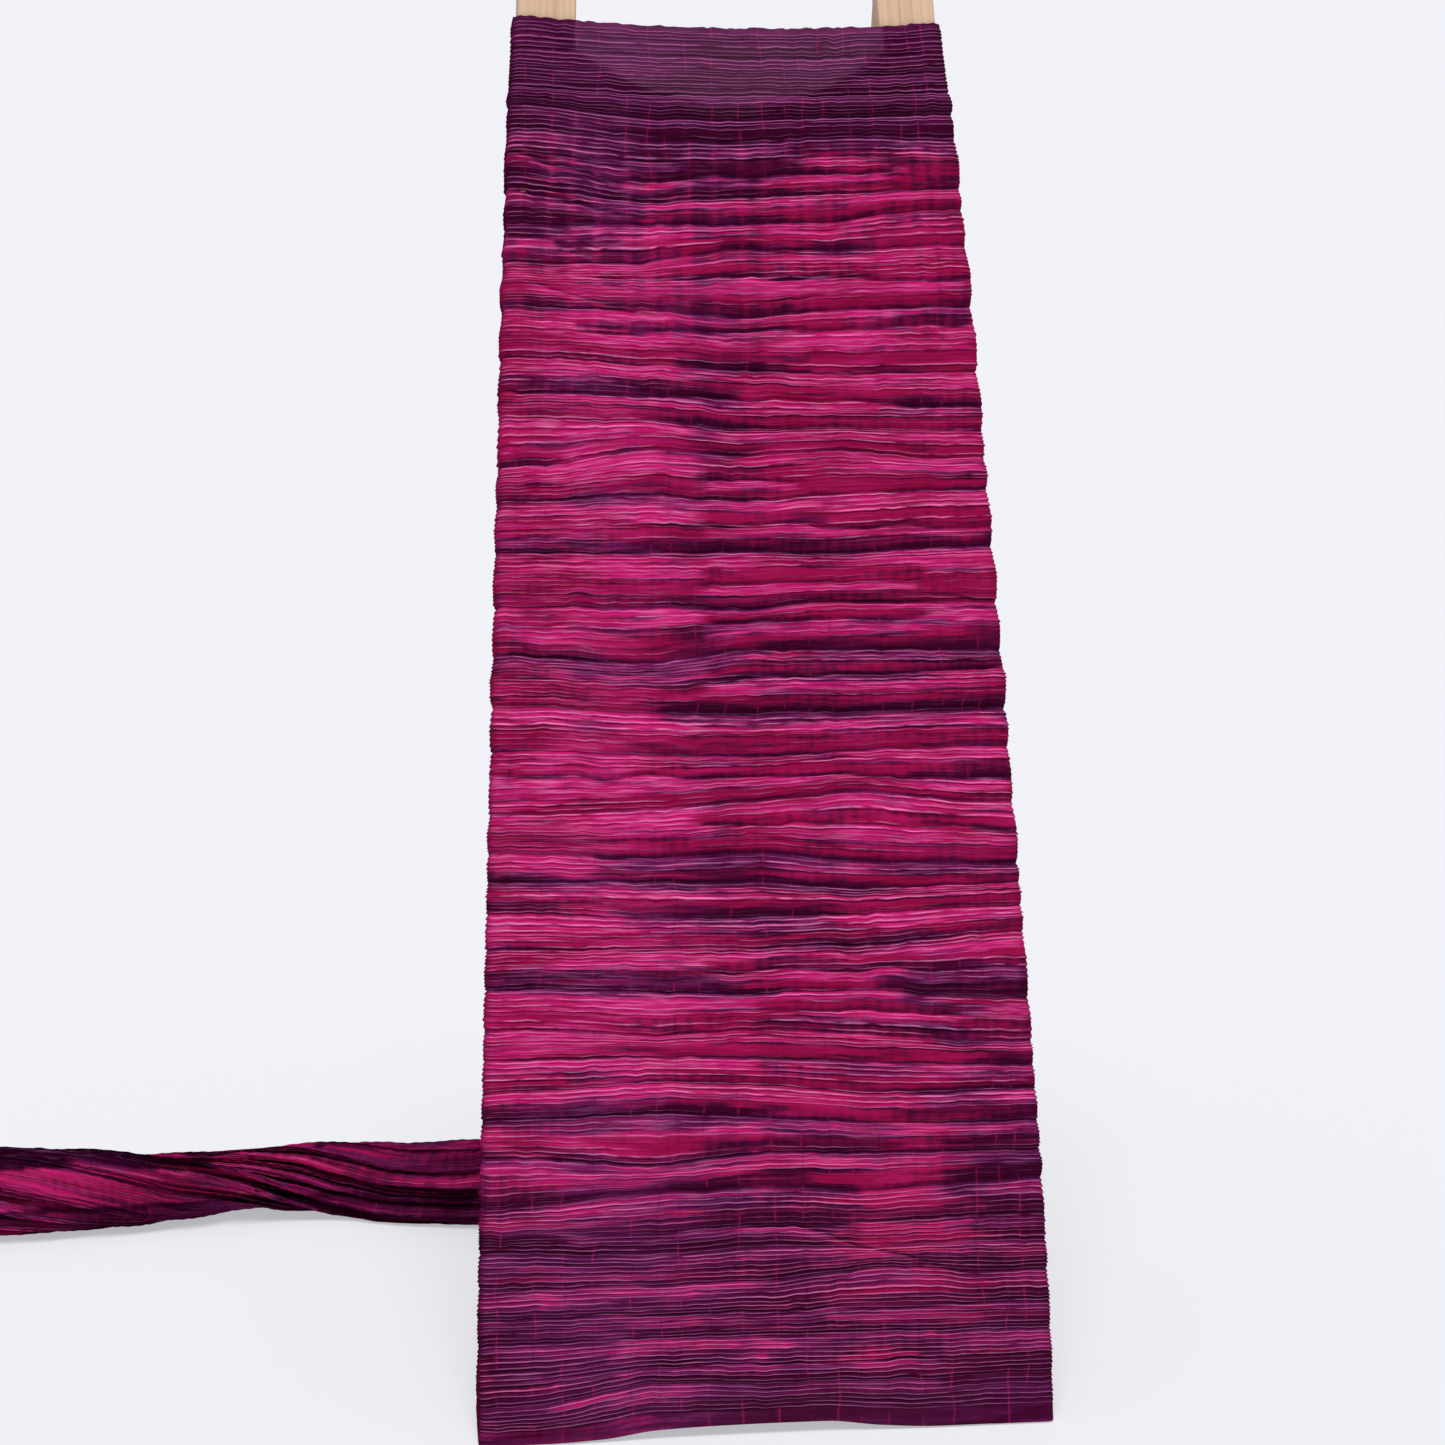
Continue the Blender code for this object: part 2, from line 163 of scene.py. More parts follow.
sky = bpy.data.worlds.new("studio sky")
sky.use_nodes = True
sky_nodes, sky_links = sky.node_tree.nodes, sky.node_tree.links
fill = sky_nodes["Background"]
fill.inputs["Color"].default_value = (*SKY_TINT, 1.0)
fill.inputs["Strength"].default_value = SKY_STRENGTH
backdrop = sky_nodes.new("ShaderNodeBackground")
backdrop.inputs["Color"].default_value = (*BACKDROP, 1.0)
seen = sky_nodes.new("ShaderNodeLightPath")
blend = sky_nodes.new("ShaderNodeMixShader")
sky_links.new(seen.outputs["Is Camera Ray"], blend.inputs["Fac"])
sky_links.new(fill.outputs["Background"], blend.inputs[1])
sky_links.new(backdrop.outputs["Background"], blend.inputs[2])
sky_links.new(blend.outputs["Shader"], sky_nodes["World Output"].inputs["Surface"])
bpy.context.scene.world = sky

lamp = bpy.data.lights.new("soft sun", "SUN")
lamp.energy = SUN_STRENGTH
lamp.angle = SUN_DISC
sun = add_object("soft sun", lamp)
towards_sun = Vector((
    math.sin(SUN_ROUND) * math.cos(SUN_HEIGHT),
    -math.cos(SUN_ROUND) * math.cos(SUN_HEIGHT),
    math.sin(SUN_HEIGHT),
))
sun.rotation_euler = towards_sun.to_track_quat("Z", "Y").to_euler()
bpy.context.scene.view_settings.view_transform = "Standard"
print("sun height:", round(math.degrees(SUN_HEIGHT)), "degrees")

# %% [markdown]
# ## The silk's route
#
# The cloth is one sheet, 44 inches wide from selvedge to selvedge. Its cut end is tucked behind the
# right rail. From there it passes behind the frame, round the left rail, across the front and round
# the right rail, and then it gathers down to the floor and lies folded to and fro as a loose rope.
# A simulation wouldn't give pleats this fine, so the sheet is drawn as a grid: first a coarse one
# along the solid's own folds, then a fine one, smoothed between them, that carries the pleats.

# %% Sizes of the cloth and where its main folds lie
def in_units(units, rows):
    """The rows of a table, with each number divided by the unit of its column."""
    return [[value / unit for value, unit in zip(row, units)] for row in rows]


CLOTH_WIDTH = 1.1176
SHEET = 0.0016
EDGE_ROUND = 0.002
STAND_OFF = 0.0035
LAYER = RAIL_THICK / 2 + STAND_OFF
CORNER = EDGE_ROUND + STAND_OFF
HALF_BOTTOM = 0.2256
HALF_TOP = 0.1746
LEFT_BOW = 0.0020
RIGHT_BOW = 0.0070
BOW_POWER = 4
TOP_SAG = 0.0073
BACK_DROP = 0.0220
BACK_SAG = 0.0510
RAIL_INNER = 0.71
SAG_POWER = 1.3
BACK_BILLOW = 0.0060
BACK_HEM = 0.0120
BACK_HEM_RISE = 0.0180
CORNER_HEM = 0.0012
HEM_REACH = 0.055
TOP_REACH = 0.100
TAIL_HEM = 0.0030
TUCK_BACK = 0.0140
TUCK_SEAT = 0.0024
BACK_RIDGE = 0.6
SIDE_RIDGE = 0.4
FOLD_PLACES = (0.06, 0.28, 0.50, 0.72, 0.94)
FOLDS = in_units((1000,) * 6, [
    # mm: its height at each of the five places, and how far it stands out
    (27, 40, 34, 35, 37, 1.5),
    (72, 74, 74, 72, 71, 2),
    (116, 115, 115, 123, 115, 2),
    (142, 136, 141, 138, 138, 2),
    (178, 185, 186, 181, 187, 3),
    (214, 205, 212, 210, 209, 2),
    (243, 245, 239, 232, 231, 2),
    (266, 269, 266, 256, 256, 1.5),
    (289, 289, 285, 280, 275, 1.5),
    (312, 305, 307, 301, 293, 2),
    (344, 341, 336, 337, 328, 2.5),
    (374, 373, 371, 371, 379, 2),
    (403, 397, 395, 396, 400, 2),
    (427, 423, 423, 416, 418, 2),
    (450, 443, 446, 437, 435, 3.5),
    (478, 480, 486, 493, 482, 2.5),
    (529, 524, 522, 526, 527, 3),
    (564, 558, 555, 556, 558, 4.5),
    (603, 595, 606, 606, 604, 3),
    (642, 641, 639, 645, 643, 4),
    (685, 684, 684, 683, 688, 3.5),
    (725, 729, 725, 730, 734, 3),
    (752, 766, 761, 766, 760, 2),
    (793, 791, 783, 784, 782, 3.5),
    (838, 836, 831, 828, 830, 3.5),
    (876, 880, 873, 880, 883, 4),
    (912, 917, 928, 928, 933, 2),
    (943, 949, 949, 952, 963, 2),
    (972, 966, 970, 975, 980, 3.5),
    (1022, 1017, 1016, 1022, 1021, 2),
    (1046, 1037, 1036, 1040, 1042, 3),
    (1060, 1058, 1057, 1058, 1060, 2),
])
HEM = [
    # share of the width, height
    (0.00, 0.0010),
    (0.17, 0.0013),
    (0.24, 0.0043),
    (0.31, 0.0081),
    (0.41, 0.0090),
    (0.59, 0.0094),
    (0.69, 0.0045),
    (0.83, 0.0010),
    (1.00, 0.0024),
]
TAIL_LEAVES = [
    # inset, behind
    (0.0010, 0.0110),
    (0.0055, 0.0250),
]

print(len(FOLDS), "main folds")

# %% The panel's columns
def panel_point(x, s, n):
    """A point of the leaning panel: x across, s up the lean from the floor, n out to the front."""
    y = s * math.sin(LEAN) - n * math.cos(LEAN)
    z = s * math.cos(LEAN) + n * math.sin(LEAN)
    return Vector((x, y, z))


def half_width(share, across):
    """Half the panel's width at a share of its height, with sides that bow out a little."""
    straight = HALF_BOTTOM + (HALF_TOP - HALF_BOTTOM) * share
    bow = LEFT_BOW + (RIGHT_BOW - LEFT_BOW) * across
    return straight + bow * (1 - (2 * share - 1) ** BOW_POWER)


def row_shares(across):
    """Heights of the troughs and of the ridges half way between them, as shares of the width."""
    troughs = [float(np.interp(across, FOLD_PLACES, fold[:-1])) / CLOTH_WIDTH for fold in FOLDS]
    rows = [0.0]
    for below, above in zip(troughs, troughs[1:] + [1.0]):
        rows += [below, (below + above) / 2]
    rows[-1] = 1.0
    return rows


def row_ridges():
    """How far the cloth stands out from the panel at each trough and ridge."""
    rows = [0.0]
    for fold in FOLDS:
        rows += [0.0, fold[-1]]
    rows[-1] = 0.0
    return rows


def panel_column(across, place, hem, drop):
    """A column of points. Only its ends follow the curves of the hem and the top edge."""
    column = []
    top_reach = max(TOP_REACH, 4 * drop)
    for share, ridge in zip(row_shares(across), row_ridges()):
        x, n = place(half_width(share, across), ridge)
        bottom = (hem - n * math.sin(LEAN)) / math.cos(LEAN)
        low = max(0.0, 1 - share * CLOTH_WIDTH / HEM_REACH)
        high = max(0.0, 1 - (1 - share) * CLOTH_WIDTH / top_reach)
        column.append(panel_point(x, share * CLOTH_WIDTH + bottom * low - drop * high, n))
    return column


def back_column(side):
    """A column behind the rails; side runs from -1 at the left to 1 at the right."""
    seat = TUCK_SEAT if side == 1 else 0.0

    def place(half, ridge):
        x = side * (half - SHEET / 2 - CORNER - TUCK_BACK * max(side, 0.0))
        return x, seat - LAYER - ridge * BACK_RIDGE - BACK_BILLOW * (1 - side * side)

    level = min(1.0, (1 - abs(side)) / (1 - RAIL_INNER))
    sag = max(0.0, 1 - (abs(side) / RAIL_INNER) ** SAG_POWER)
    hem = BACK_HEM + BACK_HEM_RISE * (1 - side * side)
    return panel_column(0.5 + 0.5 * side, place, hem, BACK_DROP * level + BACK_SAG * sag)


def front_column(side):
    """A column in front of the rails."""
    def place(half, ridge):
        return side * (half - SHEET / 2 - CORNER), LAYER + ridge

    across = 0.5 + 0.5 * side
    hem = float(np.interp(across, *zip(*HEM)))
    return panel_column(across, place, hem, TOP_SAG * (1 - side * side))


def corner_column(side, face, angle):
    """A column on the rounded corner of a rail, front or back, at an angle round it."""
    turn = math.radians(angle)

    def place(half, ridge):
        x = half - SHEET / 2 - CORNER + (CORNER + ridge * SIDE_RIDGE) * math.cos(turn)
        n = RAIL_THICK / 2 - EDGE_ROUND + (CORNER + ridge) * math.sin(turn)
        return side * x, face * n

    return panel_column(0.5 + 0.5 * side, place, CORNER_HEM if face > 0 else BACK_HEM, 0.0)


def tail_column(inset, behind):
    """A column on the outer side of the right rail, where the tail leaves it."""
    def place(half, ridge):
        return half - SHEET / 2 - inset + ridge * SIDE_RIDGE, -behind

    return panel_column(1.0, place, TAIL_HEM, 0.0)


BACK_COLUMNS = 7
FRONT_COLUMNS = 9
columns = [back_column(1 - 2 * k / (BACK_COLUMNS - 1)) for k in range(BACK_COLUMNS)]
columns += [corner_column(-1, -1, angle) for angle in (90, 45, 0)]
LEFT_SIDE = len(columns)
columns += [corner_column(-1, 1, angle) for angle in (0, 45, 90)]
columns += [front_column(-1 + 2 * k / (FRONT_COLUMNS + 1)) for k in range(1, FRONT_COLUMNS + 1)]
MIDDLE = LEFT_SIDE + 3 + FRONT_COLUMNS // 2
columns += [corner_column(1, 1, angle) for angle in (90, 45, 0)]
RIGHT_SIDE = len(columns) - 1
columns += [tail_column(inset, behind) for inset, behind in TAIL_LEAVES]
print(len(columns), "columns round the rails")

# %% [markdown]
# ## The tail and the rope
#
# Behind the panel the cloth gathers into sixteen layers that run to and fro. A layer keeps the
# length of its cloth: where the stack of layers gets lower, the folds between them get deeper.

# %% Where the tail hangs and the rope lies
FAN = in_units((1000,) * 5 + (100,), [
    # mm: bottom x, bottom y, top x, top y, top z; percent: how far it is closed
    (233, 120, 140, 352, 905, 15),
    (226, 230, 113, 395, 700, 40),
    (203, 335, 87, 440, 490, 65),
    (158, 430, 55, 484, 290, 85),
    (85, 500, 20, 517, 145, 100),
])
ROPE = in_units((1000, 1000, 1000, 1), [
    # mm: x, y, height; degrees: twist
    (-20, 528, 78, 0),
    (-110, 527, 77, 3),
    (-184, 528, 73, 6),
    (-250, 549, 64, 9),
    (-300, 572, 60, 10),
    (-352, 587, 53, 9),
    (-412, 582, 51, 6),
    (-470, 567, 59, 2),
    (-530, 554, 67, -2),
    (-613, 538, 73, -4),
    (-700, 528, 76, -4),
])
LAYERS = 16
STEPS = 4
LAYER_LENGTH = CLOTH_WIDTH / LAYERS
TURN_SHARE = 0.95
STACK_SHARE = 0.45
LAYER_GAP = 0.0006
BELLY = [
    # level, share of the fold's depth
    (0.00, 0.95),
    (0.30, 1.15),
    (0.60, 1.12),
    (0.85, 0.85),
    (1.00, 0.55),
]
LYING_LAYERS = 5
HALVINGS = 40


# %% The folded columns
def fold_steps(closure):
    """The corners of one layer's zigzag: shares of its height, and how far out each is."""
    quarter = 0.25 + (STACK_SHARE - 0.25) * closure
    reach = 0.5 + (TURN_SHARE - 0.5) * closure
    return [(0.0, -1.0), (quarter, -reach), (0.5, 0.0), (1.0 - quarter, reach)]


def fold_depth(pitch, closure):
    """Half depth of the folds for which a layer keeps the length of its cloth."""
    steps = fold_steps(closure) + [(1.0, 1.0)]
    low, high = 0.0, LAYER_LENGTH / 2
    for _ in range(HALVINGS):
        middle = (low + high) / 2
        length = 0.0
        for (a, b), (c, d) in zip(steps, steps[1:]):
            length += math.hypot((c - a) * pitch, (d - b) * middle)
        if length > LAYER_LENGTH:
            high = middle
        else:
            low = middle
    return low


def folded_column(bottom, top, side_way, closure, twist, on_floor):
    """A section of the gathered cloth: its layers zigzag from bottom to top."""
    stack = top - bottom
    pitch = stack.length / LAYERS
    depth = fold_depth(pitch, closure)
    steps = fold_steps(closure)
    up = stack.normalized()
    centre = (bottom + top) / 2
    column = []
    for row in range(LAYERS * STEPS + 1):
        layer, step = divmod(row, STEPS)
        rise, reach = steps[step]
        level = layer + rise
        belly = 1 + closure * (float(np.interp(level / LAYERS, *zip(*BELLY))) - 1)
        sideways = reach * (1 if layer % 2 == 0 else -1) * depth * belly
        height = (level - 0.5 * on_floor) * pitch - stack.length / 2
        turn = math.radians(twist) * min(1.0, level / LYING_LAYERS)
        raised = up * (height + sideways * math.sin(turn))
        point = centre + raised + side_way * (sideways * math.cos(turn))
        rest = SHEET / 2 + max(0.0, level - 0.5) * (SHEET + LAYER_GAP) * on_floor
        point.z = max(point.z, rest)
        column.append(point)
    return column


def across_rope(spot):
    """The level direction across the gathered cloth at one of its spots."""
    flow = centres[min(spot + 1, len(spots) - 1)] - centres[max(spot - 1, 0)]
    return Vector((flow.y, -flow.x, 0)).normalized()


spots = []
for bottom_x, bottom_y, top_x, top_y, top_z, closure in FAN:
    bottom, top = Vector((bottom_x, bottom_y, SHEET / 2)), Vector((top_x, top_y, top_z))
    spots.append((bottom, top, closure, 0.0, float(closure >= 1.0)))
for x, y, height, twist in ROPE:
    spots.append((Vector((x, y, SHEET / 2)), Vector((x, y, SHEET / 2 + height)), 1.0, twist, 1.0))
centres = [(bottom + top) / 2 for bottom, top, closure, twist, on_floor in spots]
for k, (bottom, top, closure, twist, on_floor) in enumerate(spots):
    columns.append(folded_column(bottom, top, across_rope(k), closure, twist, on_floor))
ROPE_START = RIGHT_SIDE + len(TAIL_LEAVES) + len(FAN) + 1
ROPE_SEEN = ROPE_START + 2
print(len(columns), "columns with the tail and the rope")

# %% [markdown]
# ## How the rope lies
#
# The solid's rope is an even stack. The real one was let fall: its layers are thick and thin, some
# folds stick out as rounded lobes and some are drawn in, and it turns over along its length, so the
# lobes run down to the right. Each section is made so here and fitted back into the height and
# depth that the solid has there. Only its waist is spread a little, and brought forward.

# %% Loosen the rope
LAYER_FULLNESS = (0.9, 0.7, 0.7, 1.4, 1.4, 0.6, 0.6, 1.3, 1.3, 1.5, 1.5, 0.6, 0.6, 1.7, 1.7, 1.0)
FOLD_REACH = (
    0.95, 1.00, 0.72, 0.74, 1.08, 0.95, 0.68, 0.72, 1.00,
    1.00, 0.78, 1.08, 0.84, 0.72, 1.10, 1.00, 0.95,
)
NOSE_SWELL = (0.0, 0.40, 0.0, -0.40)
NOSE_ROUND = 0.84
ROUNDNESS = 0.78
ROPE_TURN = (0, -22, -40, -34, -20, 8, 40, 76, 112, 148, 180)
ROPE_SPREAD = (1.0, 1.0, 1.0, 1.0, 1.04, 1.13, 1.16, 1.14, 1.08, 1.02, 1.0)
ROPE_FORWARD = (0.0, 0.0, 0.0, 0.0, 0.002, 0.009, 0.011, 0.009, 0.005, 0.002, 0.0)
ROPE_LOOSE = (0.0, 0.6, 1.0)


def loosened(column, side_way, turn, loose, spread_out, forward):
    """A rope section with uneven layers, turned over and fitted to the even one."""
    points = np.array([tuple(point) for point in column])
    centre = (points.min(axis=0) + points.max(axis=0)) / 2
    offset = points - centre
    side = offset @ np.array(side_way)
    height = offset[:, 2]
    half_deep, half_high = np.abs(side).max(), np.abs(height).max()
    rows = np.arange(len(points))
    level = rows / STEPS
    swollen = level + loose * np.array(NOSE_SWELL)[rows % STEPS]
    stacked = np.concatenate([[0.0], np.cumsum(LAYER_FULLNESS)])
    shares = np.interp(swollen, np.arange(LAYERS + 1), stacked) / stacked[-1]
    uneven = (shares * 2 - 1) * half_high
    reach = np.array(FOLD_REACH)[np.round(level).astype(int)]
    reach = reach * np.where(rows % 2 == 1, NOSE_ROUND, 1.0)
    reach = reach * np.sqrt(1 - ROUNDNESS * (2 * level / LAYERS - 1) ** 2)
    new_side = side * (1 + loose * (reach - 1))
    new_height = height + loose * (uneven - height)
    angle = math.radians(turn)
    turned_side = new_side * math.cos(angle) + new_height * math.sin(angle)
    turned_height = new_height * math.cos(angle) - new_side * math.sin(angle)
    for values, half in ((turned_side, half_deep), (turned_height, half_high)):
        values -= (values.min() + values.max()) / 2
        values *= half * spread_out / values.max()
    middle = Vector(centre) + Vector((0, -forward, half_high * (spread_out - 1)))
    return [middle + side_way * float(a) + Vector((0, 0, float(b)))
            for a, b in zip(turned_side, turned_height)]


for k, turn in enumerate(ROPE_TURN):
    here = ROPE_START + k
    loose = ROPE_LOOSE[min(k, len(ROPE_LOOSE) - 1)]
    columns[here] = loosened(
        columns[here], across_rope(len(FAN) + k), turn, loose, ROPE_SPREAD[k], ROPE_FORWARD[k])
coarse = np.array([[tuple(point) for point in column] for column in columns])
print("coarse grid:", coarse.shape[0], "columns of", coarse.shape[1], "rows")


# %% [markdown]
# ## From coarse to fine
#
# Smooth curves through the coarse grid's points give the fine grid. They never overshoot a point,
# so the cloth stays tight over the rails' corners and its folds stay where the solid has them. The
# fine rows follow the pleats, four to each: groove, lip, shoulder, slope. Pleats made by hand are
# uneven, so each has a width of its own.

# %% Smooth curves through points
def glide(values, places, wanted):
    """Curves through the values along axis 0, without overshoot, read at the wanted places."""
    steps = np.diff(places)
    shape = (-1,) + (1,) * (values.ndim - 1)
    slopes = np.diff(values, axis=0) / steps.reshape(shape)
    before, after = slopes[:-1], slopes[1:]
    agree = before * after > 0
    tangents = np.zeros_like(values)
    tangents[1:-1] = np.where(agree, 2 * before * after / np.where(agree, before + after, 1.0), 0.0)
    tangents[0], tangents[-1] = slopes[0], slopes[-1]
    cell = np.clip(np.searchsorted(places, wanted, side="right") - 1, 0, len(steps) - 1)
    width = steps[cell].reshape(shape)
    t = ((wanted - places[cell]) / steps[cell]).reshape(shape)
    start = values[cell] * (1 + 2 * t) * (1 - t) ** 2 + tangents[cell] * width * t * (1 - t) ** 2
    return (start + values[cell + 1] * t ** 2 * (3 - 2 * t)
            + tangents[cell + 1] * width * t ** 2 * (t - 1))


# %% Fine rows and columns
PLEATS = 320
PLEAT_STEPS = (0.0, 0.24, 0.50, 0.76)
PLEAT_UNEVEN = 0.22
NARROWEST, WIDEST = 0.5, 1.6
PIECE_STEPS = {
    "back": 58,
    "front_left": 77,
    "front_right": 77,
    "tail": 52,
    "rope_start": 20,
    "rope": 154,
}

dice = np.random.default_rng(11)
pleat_widths = np.clip(1 + PLEAT_UNEVEN * dice.standard_normal(PLEATS), NARROWEST, WIDEST)
pleat_lines = np.concatenate([[0.0], np.cumsum(pleat_widths)]) * CLOTH_WIDTH / pleat_widths.sum()
row_place = (pleat_lines[:-1, None] + np.diff(pleat_lines)[:, None] * np.array(PLEAT_STEPS)).ravel()
row_place = np.append(row_place, CLOTH_WIDTH)
coarse_rows = np.array(row_shares(0.5)) * CLOTH_WIDTH

gaps = np.linalg.norm(np.diff(coarse, axis=0), axis=2).mean(axis=1)
coarse_places = np.concatenate([[0.0], np.cumsum(gaps)])
bounds = [0, LEFT_SIDE, MIDDLE, RIGHT_SIDE, ROPE_START, ROPE_SEEN, len(columns) - 1]
column_place = [np.array([0.0])]
piece_spans = {}
for (name, steps), start, end in zip(PIECE_STEPS.items(), bounds, bounds[1:]):
    first = sum(len(part) for part in column_place) - 1
    stretch = np.linspace(coarse_places[start], coarse_places[end], steps + 1)[1:]
    column_place.append(stretch)
    piece_spans[name] = (first, first + steps)
column_place = np.concatenate(column_place)

smooth_rows = glide(coarse.transpose(1, 0, 2), coarse_rows, row_place)
cloth = glide(smooth_rows.transpose(1, 0, 2), coarse_places, column_place).transpose(1, 0, 2)
print(f"fine grid: {cloth.shape[:2]} rows and columns, {column_place[-1]:.2f} m of cloth")

# %% [markdown]
# ## Folds, creases and pleats
#
# Four things shape the surface, from coarse to fine. Between two main troughs the cloth hangs over
# the lower one, so its fold is fuller below than above. Tucks, listed one by one, notch these folds
# and split them. Hundreds of short creases run across their slopes. And the pleats stand like small
# saw teeth: a sharp lip, a narrow groove right under it and a long slope above it. Some stand a
# millimetre and a half, some hardly at all, and near both selvedges they are the most regular.

# %% Fields that drift along the cloth
FRONT_BLEND = 0.02
BACK_BLEND = 0.03
SIDES = (-0.08, 1.03)


def drift(seed, lines, step):
    """Random values from -1 to 1 that change smoothly along the cloth, one row for each line."""
    values = np.random.default_rng(seed).uniform(-1, 1, (lines, int(column_place[-1] / step) + 3))
    cell = (column_place / step).astype(int)
    share = column_place / step - cell
    share = share * share * (3 - 2 * share)
    return values[:, cell] * (1 - share) + values[:, cell + 1] * share


def soften(values, reach):
    """Average each row with its neighbours, reach rows to either side."""
    padded = np.pad(values, ((reach, reach), (0, 0)), mode="edge")
    total = np.cumsum(np.pad(padded, ((1, 0), (0, 0))), axis=0)
    return (total[2 * reach + 1:] - total[:-2 * reach - 1]) / (2 * reach + 1)


def smooth_step(values):
    """Values from 0 to 1 with soft ends."""
    values = np.clip(values, 0, 1)
    return values * values * (3 - 2 * values)


def fade_in(values, start, over, early=0.0):
    """0 up to the start, then softly up to 1 over the given distance, or a share of it early."""
    return smooth_step((values - start) / over + early)


def fade_out(values, end, over, late=0.0):
    """Softly down from 1 to 0 at the end, over the given distance, or a share of it late."""
    return smooth_step((end - values) / over + late)


front_start, front_end = coarse_places[LEFT_SIDE], coarse_places[RIGHT_SIDE]
across = (column_place - front_start) / (front_end - front_start)
on_front = fade_in(np.minimum(across, 1 - across), 0, FRONT_BLEND)
on_back = fade_out(column_place, front_start, BACK_BLEND)
on_side = (across > SIDES[0]) & (across < SIDES[1])
relief_share = (on_front + BACK_RIDGE * on_back
                + SIDE_RIDGE * on_side * (1 - on_front) * (1 - on_back))
mirrored = np.abs((across + 1) % 2 - 1)
print(f"the front takes {front_end - front_start:.3f} m of the cloth's length")

# %% Folds that droop
CREST = 0.46
DROOP = 0.75
POINTED = 0.6
FULLNESS = 1.70
FLAT_FULLNESS = 1.10
CREASE_REACH = 0.0013
CREASE_DEPTH = 0.45
LIP_AT = 2.0
LIP_WIDE = 1.6

row_heights = row_place[:, None]
relief = np.zeros((len(row_place), len(column_place)))
# Painted shade: this mask darkens the dye along the troughs and creases.
trough_shade = np.zeros_like(relief)
trough_lines = coarse_rows[1::2]
creases = [np.full(len(column_place), line) for line in trough_lines]

# The folds are shallow at the left and near the hem, and nearly flat in the top band.
deep = 0.25 + 0.75 * fade_in(mirrored, 0.16, 0.24)
deep = deep * (0.40 + 0.60 * fade_in(row_heights, 0.08, 0.17))
deep = deep * (1 - 0.9 * fade_in(row_heights, 1.055, 0.01))
for below, above, fold in zip(trough_lines, np.append(trough_lines[1:], CLOTH_WIDTH), FOLDS):
    inside = (row_place >= below) & (row_place < above)
    p = (row_place[inside] - below) / (above - below)
    slopes = np.minimum(p / CREST, (1 - p) / (1 - CREST))
    shape = POINTED * slopes + (1 - POINTED) * np.sin(math.pi * p ** DROOP)
    fullness = FLAT_FULLNESS + (FULLNESS - FLAT_FULLNESS) * deep[inside]
    solid_fold = smooth_step(1 - np.abs(2 * p - 1))[:, None]
    relief[inside] += fold[-1] * (shape[:, None] * fullness - solid_fold)


def groove_and_lip(line):
    """The groove along a line and the lip over it, each from 0 to 1."""
    above = (row_heights - line) / CREASE_REACH
    return np.exp(-np.abs(above)), np.exp(-((above - LIP_AT) / LIP_WIDE) ** 2)


wobble = drift(21, len(FOLDS), 0.05)
for k, (line, fold) in enumerate(zip(trough_lines, FOLDS)):
    strength = 1 + 0.5 * wobble[k]
    groove, _ = groove_and_lip(line)
    relief -= fold[-1] * CREASE_DEPTH * strength * groove
    trough_shade = np.maximum(trough_shade, strength * groove)
print(len(FOLDS), "folds over their troughs")

# %% Tucks
TUCKS = in_units((100, 100, 1000, 1000, 10000), [
    # percent across the front: from, to; mm: height there and there; tenths of a mm: depth
    (0, 80, 3, 20, 6),
    (0, 80, 52, 50, 8),
    (0, 100, 93, 91, 12),
    (15, 100, 155, 158, 12),
    (40, 100, 353, 352, 14),
    (0, 15, 363, 362, 12),
    (38, 100, 470, 460, 12),
    (0, 12, 486, 488, 10),
    (0, 100, 508, 503, 16),
    (40, 100, 581, 590, 16),
    (0, 12, 584, 583, 10),
    (40, 85, 625, 632, 16),
    (0, 15, 628, 626, 10),
    (40, 85, 657, 659, 14),
    (0, 15, 696, 697, 10),
    (40, 100, 706, 703, 18),
    (40, 62, 740, 741, 10),
    (0, 100, 811, 801, 18),
    (15, 100, 858, 868, 16),
    (18, 100, 903, 905, 18),
    (0, 85, 981, 992, 14),
    (10, 38, 999, 999, 10),
    (60, 88, 1003, 1005, 10),
    (0, 38, 1062, 1057, 10),
    (78, 100, 1076, 1077, 10),
    (10, 95, 1093, 1092, 8),
    (0, 22, 1004, 980, 20),
    (0, 26, 975, 955, 18),
    (0, 20, 935, 922, 16),
    (5, 34, 896, 872, 13),
    (50, 86, 322, 316, 14),
    (55, 88, 155, 112, 12),
])
TUCK_SWAY = 0.0020
TUCK_FADE = 0.06
TUCK_LIP = 0.8
TUCK_SHADE = 0.8
NOTCH_REACH = 0.0065
NOTCH_DEPTH = 1.5
SPLITS_FROM = 0.4

sway = drift(22, len(TUCKS), 0.03) * TUCK_SWAY
for k, (start, end, height, height_end, depth) in enumerate(TUCKS):
    share = np.clip((mirrored - start) / (end - start), 0, 1)
    line = sway[k] + [
        np.interp(there, np.array(row_shares(a)) * CLOTH_WIDTH, coarse_rows)
        for there, a in zip(height + (height_end - height) * share, mirrored)
    ]
    fade = fade_in(mirrored, start, TUCK_FADE, 0.3) * fade_out(mirrored, end, TUCK_FADE, 0.3)
    creases.append(np.where(fade > SPLITS_FROM, line, trough_lines[0]))
    notch = np.clip(1 - np.abs(row_heights - line) / NOTCH_REACH, 0, 1)
    relief -= NOTCH_DEPTH * depth * fade * notch * (0.4 + 0.6 * deep)
    groove, lip = groove_and_lip(line)
    relief -= depth * fade * groove
    relief += TUCK_LIP * depth * fade * lip
    trough_shade = np.maximum(trough_shade, TUCK_SHADE * fade * groove)
print(len(TUCKS), "tucks")

